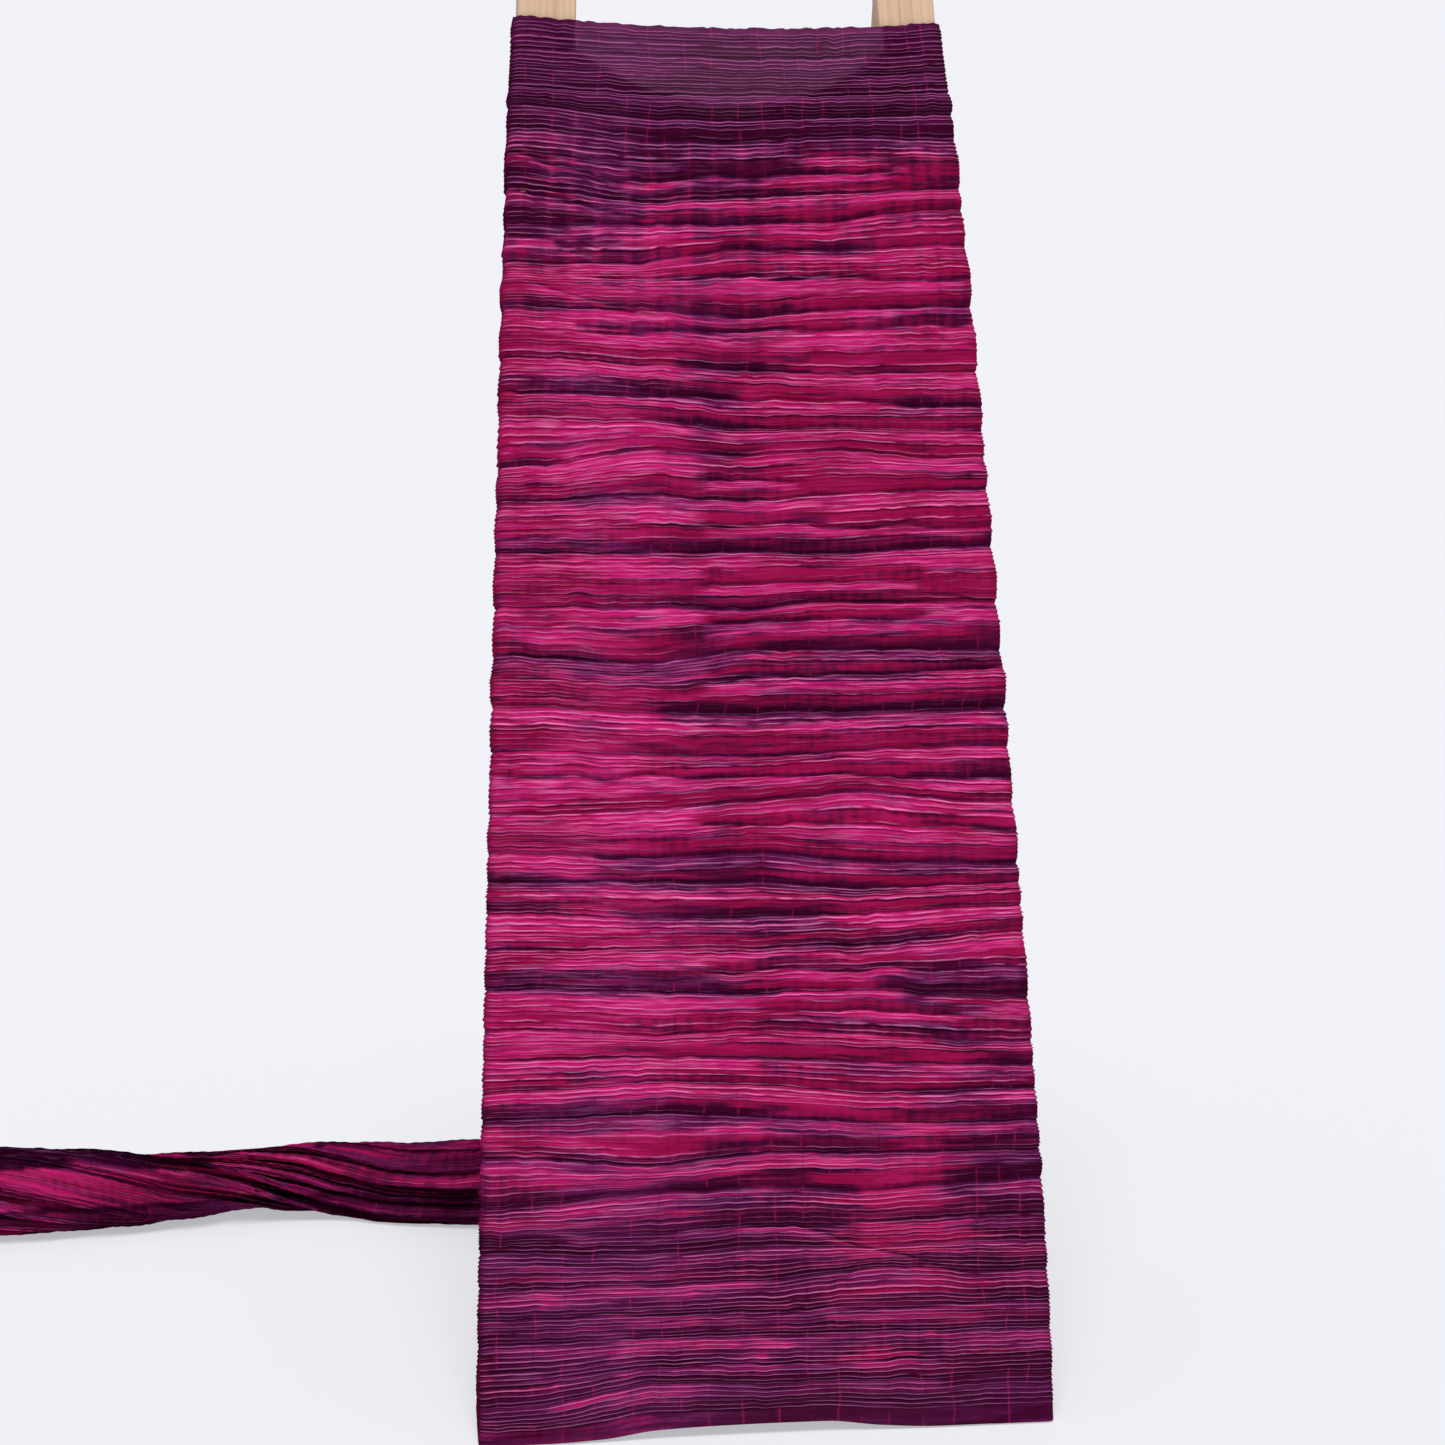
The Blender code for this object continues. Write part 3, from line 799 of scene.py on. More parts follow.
# %% Short creases
SHORT_CREASES = 480
CREASE_MARGIN = 0.03
CREASE_HALF_LENGTHS = (0.02, 0.09)
CREASE_SLOPES = (-0.07, 0.07)
CREASE_DEPTHS = (0.0004, 0.0012)
CREASE_BEND = 0.002
SHORT_LIP = 0.7

for _ in range(SHORT_CREASES):
    middle = dice.uniform(0, column_place[-1])
    height = dice.uniform(CREASE_MARGIN, CLOTH_WIDTH - CREASE_MARGIN)
    half_length = dice.uniform(*CREASE_HALF_LENGTHS)
    slope, depth = dice.uniform(*CREASE_SLOPES), dice.uniform(*CREASE_DEPTHS)
    near = np.abs(column_place - middle) < half_length
    bend = (column_place[near] - middle) / half_length
    groove, lip = groove_and_lip(height + slope * bend * half_length + CREASE_BEND * bend * bend)
    fade = 1 - bend * bend
    relief[:, near] += fade * depth * (SHORT_LIP * lip - groove)
    trough_shade[:, near] = np.maximum(trough_shade[:, near], fade * 0.5 * groove)
relief *= relief_share
print(f"creases: {relief.min() * 1000:.2f} to {relief.max() * 1000:.2f} mm")

# %% Where each point lies between the creases
creases = np.sort(np.array(creases), axis=0)
fold_phase = np.zeros_like(relief)
for column in range(relief.shape[1]):
    edges = np.append(creases[:, column], CLOTH_WIDTH)
    crease_below = np.searchsorted(creases[:, column], row_place, side="right") - 1
    index = np.maximum(crease_below, 0)
    share = (row_place - edges[index]) / (edges[index + 1] - edges[index] + 1e-6)
    fold_phase[:, column] = np.where(crease_below < 0, 0, share)


def by_phase(values):
    """A mask worked out from the fold phase, smoothed along the cloth where a crease begins."""
    return soften(values.T, 3).T


print("creases and troughs:", len(creases))

# %% Pleats
PLEAT_HEIGHT = 0.00095
PLAIN_SELVEDGE = 0.010
TOP_BAND_SHARE = 2.5
TOOTH = (-0.40, 1.00, 0.55, 0.10)
EVEN_STAND = 0.85
LOWEST_STAND, HIGHEST_STAND = 0.08, 1.9

born = dice.gamma(1.6, 0.45, (PLEATS, 1))
fading = 0.5 + 0.75 * drift(31, PLEATS, 0.055) + 0.35 * drift(32, PLEATS, 0.018)
stand = np.clip(born * (0.35 + fading) + 0.18, LOWEST_STAND, HIGHEST_STAND)
pleat_at = pleat_lines[:-1, None]
regular = 0.80 * fade_in(pleat_at, 1.02, 0.02) + 0.60 * fade_out(pleat_at, 0.24, 0.10)
regular = np.maximum(regular, 0.45 * fade_out(mirrored, 0.34, 0.20)[None, :])
stand = stand + (EVEN_STAND - stand) * regular
on_top = by_phase(fade_in(fold_phase[1::4], 0.38, 0.16))
evened = 0.55 * stand + 0.42
stand = stand * (1 - 0.5 * deep[1::4] * (1 - regular)) * (1 - on_top) + evened * on_top
groove_stand = np.concatenate([stand, stand[-1:]])
wave = np.empty_like(relief)
wave[0::4] = TOOTH[0] * groove_stand
for step in (1, 2, 3):
    wave[step::4] = TOOTH[step] * stand
# Painted light, not relief: plus on each lip for a painted highlight, minus in each groove for
# painted shade.
highlight_and_shade = np.zeros_like(relief)
highlight_and_shade[0::4] = -groove_stand
highlight_and_shade[1::4] = stand
from_edge = np.minimum(row_place, TOP_BAND_SHARE * (CLOTH_WIDTH - row_place))
plain = fade_in(from_edge, 0, PLAIN_SELVEDGE, -0.6)[:, None]
pleats = wave * PLEAT_HEIGHT * plain
highlight_and_shade *= plain
print(f"{PLEATS} pleats, about {CLOTH_WIDTH / PLEATS * 1000:.1f} mm apart")

# %% The rope's scallops and lobes
SCALLOP = 0.0125
SCALLOP_HEIGHT = 0.0010
LOBE = 0.0260
LOBE_HEIGHT = 0.0030
ROPE_SWAY = 0.012
ROPE_BLEND = 0.10
ARCH_MEAN = 0.6


def pleat_drift(seed, step, reach=0):
    """Random values that drift along each pleat line, shared with so many lines to either side."""
    values = drift(seed, PLEATS + 1, step)
    return soften(values, reach) if reach else values


def on_rows(values):
    """Values given for the pleat lines, read at every row."""
    return np.stack([np.interp(row_place, pleat_lines, column) for column in values.T], axis=1)


on_rope = fade_in(column_place, coarse_places[ROPE_START], ROPE_BLEND)
bent = on_rows(pleat_drift(44, 0.05, 6) * ROPE_SWAY)
for places, size, tall in ((column_place + bent, SCALLOP, SCALLOP_HEIGHT),
                           (row_heights + 2 * bent, LOBE, LOBE_HEIGHT)):
    pleats += (np.abs(np.sin(math.pi * (places / size))) - ARCH_MEAN) * tall * on_rope
on_edge = on_side * (1 - on_front)
pleats *= 1 - 0.35 * on_rope
highlight_and_shade *= (1 - 0.6 * on_rope) * (1 - 0.85 * on_edge)
print(f"lobes: {LOBE * 1000:.0f} mm apart")

# %% Pleats that wander
SLANT = (
    # share across, how far the rows are lifted there
    (-0.10, 0.0),
    (0.00, 0.006),
    (0.04, 0.006),
    (0.30, -0.001),
    (0.50, 0.0),
)
SLANT_ROWS = ((0.80, 0.0), (0.87, 1.0), (0.99, 1.0), (1.04, 0.0))
RAGGED_BAND = 0.009
RAGGED = 0.0008

sway = (pleat_drift(41, 0.11, 5) * 0.0018 + pleat_drift(42, 0.024, 3) * 0.0016
        + pleat_drift(43, 0.008, 2) * 0.0012)
slanted = np.interp(row_place, *zip(*SLANT_ROWS))[:, None]
shift = (on_rows(sway) + slanted * np.interp(across, *zip(*SLANT))) * plain
top_edge = fade_in(row_heights, CLOTH_WIDTH - RAGGED_BAND, RAGGED_BAND)
shift += RAGGED * top_edge * drift(61, 1, 0.0045) * (1 - on_rope)


def along(grid, axis):
    """Unit vectors along the rows or the columns of the grid."""
    way = np.gradient(grid, axis=axis)
    return way / np.linalg.norm(way, axis=2, keepdims=True)


def outward(grid):
    """Unit vectors out of the cloth's front face."""
    normal = np.cross(along(grid, 1), along(grid, 0))
    return normal / np.linalg.norm(normal, axis=2, keepdims=True)


OFF_FLOOR = 0.0002
raised = outward(cloth) * (relief + pleats)[:, :, None]
cloth = cloth + raised + along(cloth, 0) * shift[:, :, None]
cloth[:, :, 2] = np.maximum(cloth[:, :, 2], OFF_FLOOR)
normals = outward(cloth)
print(f"rows wander by up to {np.abs(shift).max() * 1000:.1f} mm")

# %% [markdown]
# ## Dye
#
# The silk was bound and dyed in stages: hot pink first, then crimson and plum over it. What is left
# is plum along both selvedges, a ragged plum bar up the middle, and thin plum bars that follow the
# pleats and feather out at their ends. The bars are listed one by one, and their edges are broken
# up pleat by pleat. Painted shade darkens the troughs and the folds' lower parts, and on deep folds
# it makes the lower faces crimson while painted light keeps the crests pink, with a broken line of
# painted plum shade between. The cloth behind repeats the same dyeing mirror-wise, as cloth folded
# before binding does.

# %% Dye bars
BARS = in_units((1000, 100, 100, 1000, 100), [
    # mm: height; percent across the front: from, to; mm: half thickness; percent: strength
    (1085, 0, 100, 42, 95),
    (1030, 0, 100, 20, 92),
    (1000, 0, 70, 11, 75),
    (964, 0, 34, 24, 85),
    (985, 34, 62, 12, 70),
    (960, 62, 102, 26, 28),
    (949, 36, 62, 6, 65),
    (925, 36, 78, 5, 45),
    (902, 22, 72, 5, 45),
    (876, 0, 65, 5, 50),
    (868, 80, 100, 4, 45),
    (858, 22, 60, 5, 55),
    (831, 36, 60, 5, 65),
    (810, 0, 52, 6, 72),
    (802, 80, 100, 5, 60),
    (783, 36, 52, 5, 60),
    (759, 38, 52, 6, 45),
    (724, 0, 52, 4, 55),
    (687, 0, 100, 5, 58),
    (643, 38, 72, 3, 40),
    (625, 38, 60, 4, 60),
    (598, 0, 52, 6, 78),
    (605, 55, 100, 8, 75),
    (582, 45, 86, 4, 60),
    (554, 34, 100, 7, 85),
    (521, 44, 66, 3, 45),
    (505, 80, 100, 4, 55),
    (507, 10, 26, 3, 50),
    (440, 20, 100, 6, 80),
    (422, 0, 72, 5, 70),
    (402, 0, 13, 3, 55),
    (393, 24, 62, 7, 72),
    (373, 50, 86, 4, 52),
    (357, 50, 72, 4, 48),
    (342, 0, 52, 8, 80),
    (342, 72, 100, 9, 78),
    (313, 50, 86, 4, 48),
    (281, 50, 73, 4, 52),
    (255, 76, 100, 8, 75),
    (240, 0, 50, 8, 85),
    (226, 48, 73, 10, 68),
    (210, 0, 46, 5, 52),
    (209, 60, 86, 6, 58),
    (183, 0, 46, 11, 72),
    (174, 46, 62, 18, 80),
    (164, 62, 86, 5, 55),
    (143, 0, 50, 16, 98),
    (121, 60, 86, 8, 62),
    (115, 85, 110, 118, 92),
    (68, -10, 15, 52, 92),
    (57, 13, 26, 44, 92),
    (95, 58, 88, 13, 44),
    (94, 24, 38, 24, 86),
    (30, 24, 38, 26, 92),
    (84, 37, 49, 15, 82),
    (16, 36, 105, 20, 97),
    (80, 48, 61, 62, 85),
    (71, 60, 74, 7, 65),
    (62, 72, 88, 16, 75),
])
BAR_FADE = 0.07
BAR_START_FADE, BAR_END_FADE = 0.10, 0.12
MIDDLE_BAR = (0.36, 0.52)
LINE_WANDER = 0.0040
END_WANDER = 0.06

nearest_pleat = np.round(np.interp(row_place, pleat_lines, np.arange(PLEATS + 1)))
row_pleat = np.clip(nearest_pleat, 0, PLEATS).astype(int)


def row_drift(seed, step, reach=0):
    """Random values that drift along the cloth, the same for all rows of one pleat."""
    return pleat_drift(seed, step, reach)[row_pleat]


end_noise = row_drift(52, 0.04)
streak_noise = row_drift(54, 0.045)
place_v = row_heights + row_drift(51, 0.07, 1) * LINE_WANDER
place_a = mirrored + end_noise * END_WANDER
dye_shade_and_light = np.zeros_like(relief)
for height, start, end, half, strength in BARS:
    body = np.clip(1.55 - np.abs(place_v - height) / half * 0.75, 0, 1)
    rising = fade_in(place_a, start, BAR_FADE, 0.5) if start > 0 else 1.0
    falling = fade_out(place_a, end, BAR_FADE, 0.5) if end < 1 else 1.0
    dye_shade_and_light = np.maximum(dye_shade_and_light, strength * body * rising * falling)
ragged = fade_in(place_a, MIDDLE_BAR[0], BAR_START_FADE)
ragged *= fade_out(place_a, MIDDLE_BAR[1], BAR_END_FADE)
dye_shade_and_light += 0.30 * ragged * (0.7 + 0.9 * end_noise)
print("bars:", len(BARS))

# %% Dye, with painted shade and light, that follows the folds and pleats
BACK_TOP = (1.045, 1.140)
UNDER_FOLD = 0.34
SINGLE_EDGE = 0.006
SHADE_LINE_AT, SHADE_LINE_WIDE = 0.53, 0.06

low_zone = fade_out(place_v, 0.28, 0.12) * (place_a < 1)
top_zone = fade_in(place_v, 0.99, 0.03)
patchy = 0.62 + 1.08 * row_drift(56, 0.06, 3)
# Painted shade: more plum on the lower part of each fold, which faces down.
under_fold_shade = by_phase(fade_out(fold_phase, UNDER_FOLD, UNDER_FOLD)) * patchy * (1 - 0.5 * low_zone)
dye_shade_and_light += 0.34 * under_fold_shade * (0.40 + 0.60 * fade_in(place_a, 0.26, 0.16))
zone = 0.5 + 1.1 * row_drift(55, 0.16, 9)
dye_shade_and_light += 0.60 * np.clip((streak_noise - 0.15) / 0.6, 0, 1) * np.clip(zone, 0.15, 1)
# Painted shade along the troughs and creases.
dye_shade_and_light += 0.34 * np.clip(trough_shade, 0, 1)
# Painted light: less dye on the upper faces of the folds, which face up.
crest_light = by_phase(fade_in(fold_phase, 0.30, 0.25) * fade_out(fold_phase, 1.0, 0.15))
crest_light_patches = np.clip(0.55 + 1.44 * row_drift(57, 0.05, 1), 0, 1)
dye_shade_and_light *= 1 - 0.50 * crest_light * crest_light_patches * (1 - 0.7 * top_zone)
# Painted shade: a dark plum line where each fold turns down past its crest.
crest_shade_line = by_phase(np.exp(-((fold_phase - SHADE_LINE_AT) / SHADE_LINE_WIDE) ** 2))
dye_shade_and_light += 0.60 * crest_shade_line * deep * np.clip(0.50 + 1.2 * row_drift(60, 0.05), 0, 1)

# Only one layer hangs where the front stands above the back's curved top edge.
back_top = BACK_TOP[0] + (BACK_TOP[1] - BACK_TOP[0]) * (2 * across - 1) ** 2
single_layer = fade_in(row_heights, back_top, SINGLE_EDGE) * (np.abs(2 * across - 1) < RAIL_INNER)
# Painted light: less dye where only one layer hangs, for the light that comes through it.
dye_shade_and_light += (0.04 * low_zone + 0.24 * row_drift(58, 0.035) * (1 - 0.6 * top_zone)
        + 0.14 * top_zone - 0.12 * single_layer)
print(f"a single layer: {(single_layer > 0.5).mean():.1%} of the cloth")

# %% Dye of the rope, with painted shade
ROPE_DYE_AND_SHADE = in_units((1000, 100, 100, 10000), [
    # mm: x; percent: dye of its upper and lower part; tenths of a mm: the strip of painted shade
    # along the top
    (-700, 34, 36, 40),
    (-640, 30, 42, 95),
    (-600, 30, 50, 100),
    (-530, 34, 92, 95),
    (-440, 40, 100, 70),
    (-400, 42, 95, 0),
    (-340, 48, 90, 14),
    (-260, 58, 95, 18),
    (0, 60, 95, 18),
])
ROPE_WAIST = 0.40
ROPE_SELVEDGE = 0.030
WAIST_TURN = 0.06
WAIST_DARK = 0.75
WAIST_REACH = 0.045
STRIP_FADE = 0.0015
THINNEST_STRIP = 0.0005
MOST_DYE = 1.12

rope_x = cloth[:, :, 0].mean(axis=0)
dye_x, *dye_and_shade_parts = zip(*ROPE_DYE_AND_SHADE)
high, low, shade_strip = (np.interp(rope_x, dye_x, part) for part in dye_and_shade_parts)
top_of_rope = cloth[:, :, 2].max(axis=0)
level_up = cloth[:, :, 2] / top_of_rope
rope_dye_and_shade = high + (low - high) * fade_out(level_up, ROPE_WAIST + WAIST_TURN, 2 * WAIST_TURN)
rope_dye_and_shade = rope_dye_and_shade + 0.45 * streak_noise
# Painted shade: the rope's waist and a strip along its top are painted dark plum and near-black
# grooves.
waist_shade = WAIST_DARK * fade_out(np.abs(level_up - ROPE_WAIST), 0, WAIST_REACH, 1.4)
top_strip_shade = fade_in(cloth[:, :, 2], top_of_rope - shade_strip, STRIP_FADE) * (shade_strip > THINNEST_STRIP)
in_shade = np.maximum(waist_shade, top_strip_shade) * on_rope
rope_dye_and_shade = np.maximum(rope_dye_and_shade, in_shade)
highlight_and_shade = highlight_and_shade * (1 - in_shade) - 1.3 * in_shade
at_edge = np.minimum(row_heights, CLOTH_WIDTH - row_heights)
rope_dye_and_shade = np.maximum(rope_dye_and_shade, 0.9 * fade_out(at_edge, ROPE_SELVEDGE, 0.010))
dye_shade_and_light = np.clip(dye_shade_and_light + (rope_dye_and_shade - dye_shade_and_light) * on_rope, 0, MOST_DYE)
print(f"dye covers {(dye_shade_and_light > 0.5).mean():.0%} of the cloth")

# %% Crimson and pink, with painted shade and light on the folds
PINKEST = 0.25
PINK_REACH = 0.24

heat = np.clip(1 - np.abs(place_a - PINKEST) / PINK_REACH, 0, 1) * 0.45 + 0.30
mottle = 0.50 * row_drift(53, 0.07, 2) + 0.32 * row_drift(59, 0.03)
# Painted shade and light: on deep folds the down-facing lower faces turn crimson and the upper
# faces pink.
lower_face_shade = by_phase(fade_in(fold_phase, 0, 0.05) * fade_out(fold_phase, 0.56, 0.12))
fold_shade_and_light = deep * (0.30 - 0.85 * lower_face_shade) + (1 - deep) * 0.45 * (fold_phase - 0.45)
warmth_and_fold_shade = np.clip(heat + mottle + fold_shade_and_light * (1 - on_rope) - 0.08 * on_rope, 0, 1)
print(f"pink covers {(warmth_and_fold_shade > 0.5).mean():.0%} of the cloth")

# %% [markdown]
# ## Silk
#
# The colour comes from the dye's strength, which holds painted shade and light as well, broken up
# once more by fine streaks along the pleats, which are calmer near both selvedges. The lips and
# scattered glints get a painted highlight in a paler tint, and the grooves under the lips get
# painted shade. Thin upright crease lines, left where the cloth was folded for binding, cross the
# pleats: dark ones on the pink, and pink dashes on the plum, where the binding kept the dye out.
# The silk is a little sheer: where only one layer hangs, the light that comes through it from
# behind is painted in.

# %% Helpers for materials
silk, silk_shader, nodes, links = new_material("pleated bandhani silk")


def node(kind, **settings):
    """A new shader node with its settings."""
    made = nodes.new(kind)
    for name, value in settings.items():
        setattr(made, name, value)
    return made


def feed(target, value):
    """Link a socket to an input, or set the input to a plain value."""
    if isinstance(value, bpy.types.NodeSocket):
        links.new(value, target)
    else:
        target.default_value = value


def mix_colour(blend, factor, first, second):
    """A colour mix; each input is a socket to link or a value to set."""
    made = node("ShaderNodeMix", data_type="RGBA", blend_type=blend)
    for place_in, value in ((0, factor), (6, first), (7, second)):
        feed(made.inputs[place_in], value)
    return made.outputs[2]


def calculate(operation, first, second, clamp=False):
    """A number worked out from two inputs, each a socket or a value."""
    made = node("ShaderNodeMath", operation=operation, use_clamp=clamp)
    feed(made.inputs[0], first)
    feed(made.inputs[1], second)
    return made.outputs[0]


def times(first, *others):
    """The product of sockets and values."""
    for other in others:
        first = calculate("MULTIPLY", first, other)
    return first


def plus(first, *others):
    """The sum of sockets and values."""
    for other in others:
        first = calculate("ADD", first, other)
    return first


def centred(value):
    """Noise from 0 to 1 moved so that its middle is 0."""
    return calculate("SUBTRACT", value, 0.5)


def spread(value, low, high):
    """The value stretched so that low becomes 0 and high becomes 1, and cut off there."""
    made = node("ShaderNodeMapRange", clamp=True)
    for name, number in (("Value", value), ("From Min", low), ("From Max", high)):
        feed(made.inputs[name], number)
    return made.outputs["Result"]


def ramp(factor, stops):
    """A colour ramp with the given stops."""
    made = node("ShaderNodeValToRGB")
    feed(made.inputs["Fac"], factor)
    band = made.color_ramp
    while len(band.elements) < len(stops):
        band.elements.new(0.5)
    for element, (position, colour) in zip(band.elements, stops):
        element.position = position
        element.color = (*colour, 1.0)
    return made.outputs["Color"]


def noise(vector, detail, stretch):
    """Noise with so many features a metre along each way."""
    mapping = node("ShaderNodeMapping")
    mapping.inputs["Scale"].default_value = stretch
    feed(mapping.inputs["Vector"], vector)
    made = node("ShaderNodeTexNoise")
    made.inputs["Scale"].default_value = 1.0
    made.inputs["Detail"].default_value = detail
    feed(made.inputs["Vector"], mapping.outputs["Vector"])
    return made.outputs["Fac"]


def bumped(height, strength, distance):
    """Shading directions tilted by the slopes of a height."""
    made = node("ShaderNodeBump")
    made.inputs["Strength"].default_value = strength
    made.inputs["Distance"].default_value = distance
    feed(made.inputs["Height"], height)
    return made.outputs["Normal"]


def attribute(name, output="Vector"):
    """A field stored with the points of the cloth."""
    return node("ShaderNodeAttribute", attribute_name=name).outputs[output]


def parts_of(vector):
    """The three numbers of a vector."""
    split = node("ShaderNodeSeparateXYZ")
    feed(split.inputs[0], vector)
    return split.outputs


print("silk shader:", silk_shader.name)

# %% How much dye the silk took, with painted shade and light in it
FOLDS_A_METRE = 48.0
COMB_A_METRE = 100.0

place = attribute("cloth_place")
dye_shade_and_light_here, warmth_and_fold_shade_here, highlight_and_shade_here = parts_of(attribute("cloth_dye_and_light"))
length_place, height, _ = parts_of(place)


def cloth_noise(detail, along_cloth, up_cloth):
    """Noise over the cloth, with so many features a metre along it and up it."""
    return noise(place, detail, (along_cloth, up_cloth, 1.0))


def line_distance(a_metre):
    """How far off the nearest of so many upright lines a metre is, as a share."""
    made = node("ShaderNodeTexVoronoi", voronoi_dimensions="1D", feature="DISTANCE_TO_EDGE")
    made.inputs["Scale"].default_value = a_metre
    feed(made.inputs["W"], swayed)
    return made.outputs["Distance"]


calm = calculate("MAXIMUM", spread(height, 0.30, 0.10), spread(height, 0.98, 1.03))
lively = calculate("SUBTRACT", 1.0, times(calm, 0.60))
streaks = times(centred(cloth_noise(3.0, 24.0, 420.0)), lively)
fine = centred(cloth_noise(2.0, 110.0, 900.0))
# The dye's strength here already holds the painted shade and light of the folds.
soaked_shade_and_light = plus(times(dye_shade_and_light_here, 0.90), times(streaks, 1.05), times(fine, 0.70))

swayed = plus(length_place, times(centred(cloth_noise(1.0, 20.0, 30.0)), 0.009))
fold_lines = line_distance(FOLDS_A_METRE)
upright_line = spread(fold_lines, 0.055, 0.0)
upright_soft = spread(line_distance(COMB_A_METRE), 0.42, 0.0)
long_dashes = cloth_noise(2.0, 60.0, 42.0)
combed = spread(cloth_noise(2.0, 9.0, 40.0), 0.38, 0.58)
soft_comb = times(upright_soft, combed, spread(warmth_and_fold_shade_here, 0.75, 0.25), 0.20)
dark_line = times(upright_line, spread(long_dashes, 0.54, 0.44), 0.16)
upper_part = times(spread(height, 0.76, 0.90), spread(height, 1.06, 1.00))
bound_lines = times(spread(fold_lines, 0.34, 0.06), upper_part, -0.20)
soaked_shade_and_light = calculate("ADD", plus(soaked_shade_and_light, soft_comb, dark_line), bound_lines, clamp=True)
print("dye:", len(nodes), "nodes so far")

# %% Colours of the silk
HOT_PINK = (0.51, 0.013, 0.148, 1.0)
CRIMSON = (0.27, 0.005, 0.053, 1.0)
VEIL = (
    # dye, what it leaves of the red, green and blue
    (0.14, (1.00, 1.00, 1.00)),
    (0.34, (0.66, 0.90, 0.76)),
    (0.52, (0.40, 0.80, 0.66)),
    (0.72, (0.25, 0.62, 0.50)),
    (0.98, (0.15, 0.42, 0.33)),
)
KEPT_PINK = (0.40, 0.010, 0.12, 1.0)
NO_SHADE = (1.0, 1.0, 1.0, 1.0)
GROOVE_SHADE = (0.20, 0.10, 0.22, 1.0)
PINK_HIGHLIGHT = (1.0, 0.25, 0.56, 1.0)
PLUM_HIGHLIGHT = (0.44, 0.13, 0.34, 1.0)
LIT_THROUGH = (0.030, 0.012, 0.024, 1.0)
SILK_ALPHA = 0.997
SILK_ROUGH = 0.55

silky = centred(cloth_noise(2.0, 20.0, 520.0))
blots = centred(cloth_noise(2.0, 16.0, 70.0))
varied = times(plus(times(silky, 1.3), times(blots, 1.6)), lively)
warm_and_fold_shade = calculate("ADD", plus(warmth_and_fold_shade_here, times(fine, 0.8)), varied, clamp=True)
pink = mix_colour("MIX", warm_and_fold_shade, CRIMSON, HOT_PINK)
colour = mix_colour("MULTIPLY", 1.0, pink, ramp(soaked_shade_and_light, VEIL))
kept = times(upright_line, spread(long_dashes, 0.48, 0.56), spread(soaked_shade_and_light, 0.45, 0.75), 0.42)
colour = mix_colour("MIX", kept, colour, KEPT_PINK)
# Painted shade in the grooves under the lips.
groove = times(spread(highlight_and_shade_here, -0.15, -1.3), 0.90)
shade = mix_colour("MIX", groove, NO_SHADE, GROOVE_SHADE)
colour = mix_colour("MULTIPLY", 1.0, colour, shade)
# Painted highlights: scattered glints and the pleats' lips are mixed toward a paler tint.
highlight_tint = mix_colour("MIX", soaked_shade_and_light, PINK_HIGHLIGHT, PLUM_HIGHLIGHT)
glints = times(spread(cloth_noise(2.0, 34.0, 460.0), 0.50, 0.72), spread(warmth_and_fold_shade_here, 0.20, 0.80))
colour = mix_colour("MIX", times(glints, lively, 0.30), colour, highlight_tint)
lip_breaks = spread(plus(cloth_noise(2.0, 46.0, 260.0), times(calm, 0.10)), 0.36, 0.56)
lip = times(spread(highlight_and_shade_here, 0.25, 0.90), lip_breaks, 0.90)
colour = mix_colour("MIX", lip, colour, highlight_tint)
colour = mix_colour("ADD", attribute("cloth_single", "Fac"), colour, LIT_THROUGH)
feed(silk_shader.inputs["Base Color"], colour)
silk_shader.inputs["Roughness"].default_value = SILK_ROUGH
silk_shader.inputs["Specular IOR Level"].default_value = 0.0
silk_shader.inputs["Alpha"].default_value = SILK_ALPHA
feed(silk_shader.inputs["Normal"], bumped(cloth_noise(2.0, 900.0, 1500.0), 0.25, 0.0003))
print("silk material:", len(nodes), "nodes")

# %% [markdown]
# ## The sheet's pieces
#
# The whole sheet is one grid, but one mesh of it would be too heavy to handle. It is cut along five
# upright lines that follow the cloth's own route, and the pieces share the points and the shading
# directions along each cut, so no seam shows.

# %% Cut a piece out of the grid
all_places = np.stack(np.broadcast_arrays(column_place, row_heights, 0.0), axis=-1)
# Dye with painted shade and light, pink with painted fold shade, and painted lip highlights with
# groove shade.
all_paint = np.stack((dye_shade_and_light, warmth_and_fold_shade, highlight_and_shade), axis=-1)


def add_field(mesh, name, values):
    """Store a number or three numbers with each point of a mesh."""
    kind, part = ("FLOAT_VECTOR", "vector") if values.ndim == 3 else ("FLOAT", "value")
    field = mesh.attributes.new(name, kind, "POINT")
    field.data.foreach_set(part, values.astype(np.float32).ravel())


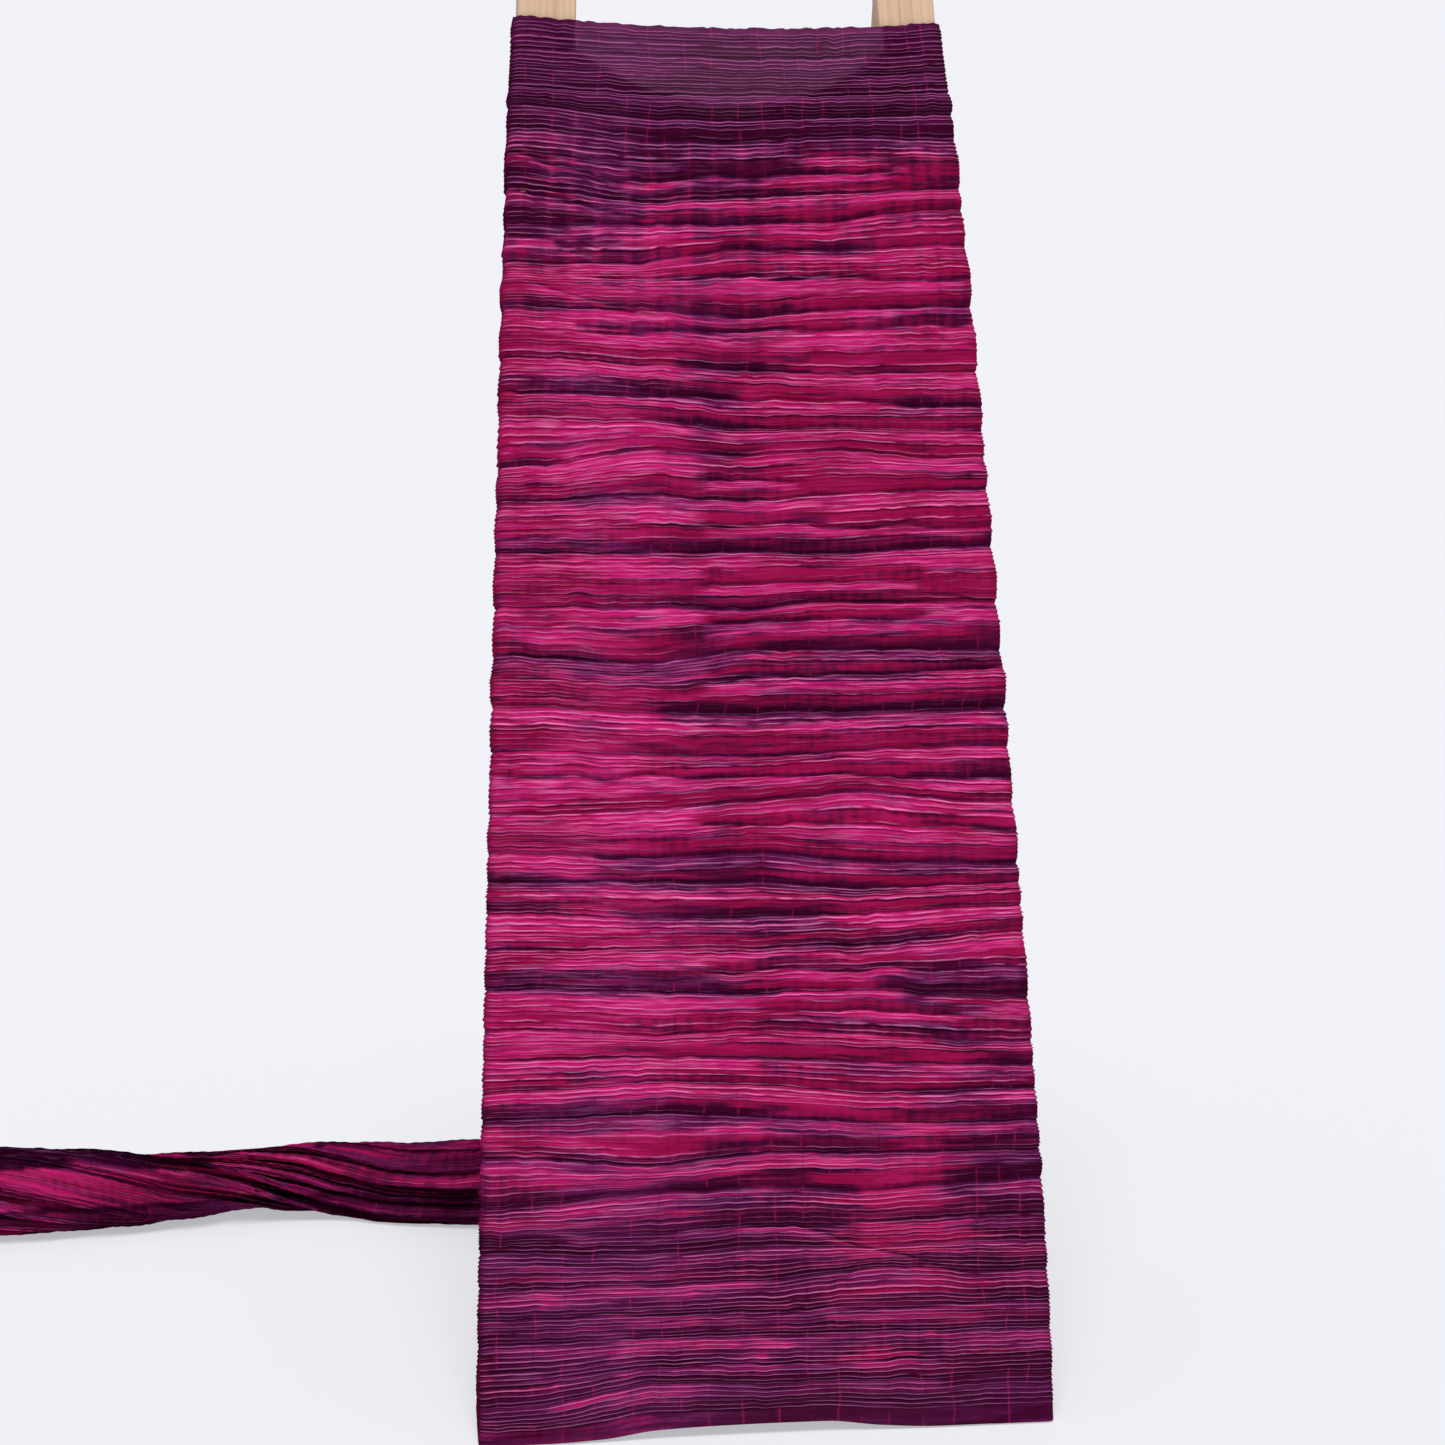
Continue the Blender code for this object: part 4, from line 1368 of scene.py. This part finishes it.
def sheet_piece(name, first, last, kept_rows):
    """One stretch of the sheet, from its first column to its last, with the rows kept."""
    def cut(field):
        """The part of a field that belongs to this piece."""
        return field[kept_rows, first:last + 1]

    points = (cut(cloth) + np.array(FOOT)).astype(np.float32)
    rows, count = points.shape[:2]
    index = np.arange(rows * count, dtype=np.int32).reshape(rows, count)
    corners = (index[:-1, :-1], index[:-1, 1:], index[1:, 1:], index[1:, :-1])
    quads = np.stack(corners, axis=-1).reshape(-1, 4)
    mesh = bpy.data.meshes.new(name)
    mesh.vertices.add(rows * count)
    mesh.vertices.foreach_set("co", points.ravel())
    mesh.loops.add(quads.size)
    mesh.loops.foreach_set("vertex_index", quads.ravel())
    mesh.polygons.add(len(quads))
    mesh.polygons.foreach_set("loop_start", np.arange(0, quads.size, 4, dtype=np.int32))
    mesh.update(calc_edges=True)
    mesh.shade_smooth()
    mesh.normals_split_custom_set_from_vertices(cut(normals).reshape(-1, 3))
    add_field(mesh, "cloth_place", cut(all_places))
    add_field(mesh, "cloth_dye_and_light", cut(all_paint))
    add_field(mesh, "cloth_single", cut(single_layer))
    mesh.materials.append(silk)
    piece = add_object(name, mesh)
    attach(piece, "root")
    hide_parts("cloth")
    return piece


print("points in the grid:", cloth.shape[0] * cloth.shape[1])

# %% Pieces of the cloth
every_row = np.arange(len(row_place))
grooves_and_lips = every_row[every_row % len(PLEAT_STEPS) <= 1]
for name, (first, last) in piece_spans.items():
    kept_rows = grooves_and_lips if name == "rope" else every_row
    piece = sheet_piece("silk_" + name, first, last, kept_rows)

# %% [markdown]
# ## Wood
#
# The rails are planed pine: pale, with fine grain along their length, a few darker streaks and
# faint saw marks across it. The grain has to run along each piece, so one group draws it and each
# material turns the coordinates its own way.

# %% Pine grain group
PINE = (
    # grain, colour
    (0.30, (0.50, 0.31, 0.18)),
    (0.46, (0.62, 0.41, 0.265)),
    (0.60, (0.69, 0.48, 0.33)),
)
PINE_SHADE = (0.98, 0.96, 0.94, 1.0)

pine_group = bpy.data.node_groups.new("pine grain", "ShaderNodeTree")
for name, kind in (("Vector", "Vector"), ("Tone", "Float")):
    pine_group.interface.new_socket(name, in_out="INPUT", socket_type="NodeSocket" + kind)
for name, kind in (("Colour", "Color"), ("Roughness", "Float"), ("Grain", "Float")):
    pine_group.interface.new_socket(name, in_out="OUTPUT", socket_type="NodeSocket" + kind)
nodes, links = pine_group.nodes, pine_group.links
vector, tone = node("NodeGroupInput").outputs[:2]
leave = node("NodeGroupOutput")
fine_grain = noise(vector, 4.0, (420.0, 420.0, 7.0))
broad_grain = noise(vector, 3.0, (60.0, 60.0, 1.6))
marks = noise(vector, 1.0, (30.0, 30.0, 260.0))
pine = ramp(plus(times(fine_grain, 0.6), times(broad_grain, 0.4)), PINE)
feed(leave.inputs["Colour"], mix_colour("MULTIPLY", tone, pine, PINE_SHADE))
feed(leave.inputs["Roughness"], plus(times(marks, 0.25), 0.42))
feed(leave.inputs["Grain"], plus(fine_grain, times(marks, 0.3)))
print("pine grain:", len(nodes), "nodes")

# %% Wood materials
WOOD = {
    # node: turn of its grain to upright
    "front_rail_left": (LEAN, math.radians(-2.7), 0.0),
    "front_rail_right": (LEAN, math.radians(2.7), 0.0),
    "rear_leg_left": (math.radians(-13.5), 0.0, 0.0),
    "rear_leg_right": (math.radians(-13.5), 0.0, 0.0),
    "front_top_bar": (0.0, math.radians(90), 0.0),
    "front_low_bar": (0.0, math.radians(90), 0.0),
    "rear_low_bar": (0.0, math.radians(90), 0.0),
}
GRAIN_APART = (0.37, 0.21, 0.53)
GRAIN_BUMP = 0.3
GRAIN_DEEP = 0.0004

for k, (name, turn) in enumerate(WOOD.items()):
    wood, shader, nodes, links = new_material("pine " + name)
    turned = node("ShaderNodeMapping")
    turned.inputs["Rotation"].default_value = turn
    turned.inputs["Location"].default_value = [part * k for part in GRAIN_APART]
    feed(turned.inputs["Vector"], node("ShaderNodeTexCoord").outputs["Object"])
    grain = node("ShaderNodeGroup", node_tree=pine_group)
    grain.inputs["Tone"].default_value = 0.3 + 0.1 * k
    feed(grain.inputs["Vector"], turned.outputs["Vector"])
    feed(shader.inputs["Base Color"], grain.outputs["Colour"])
    feed(shader.inputs["Roughness"], grain.outputs["Roughness"])
    feed(shader.inputs["Normal"], bumped(grain.outputs["Grain"], GRAIN_BUMP, GRAIN_DEEP))
    for wood_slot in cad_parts[name].material_slots:
        wood_slot.material = wood
print("wood:", len(WOOD), "pieces")
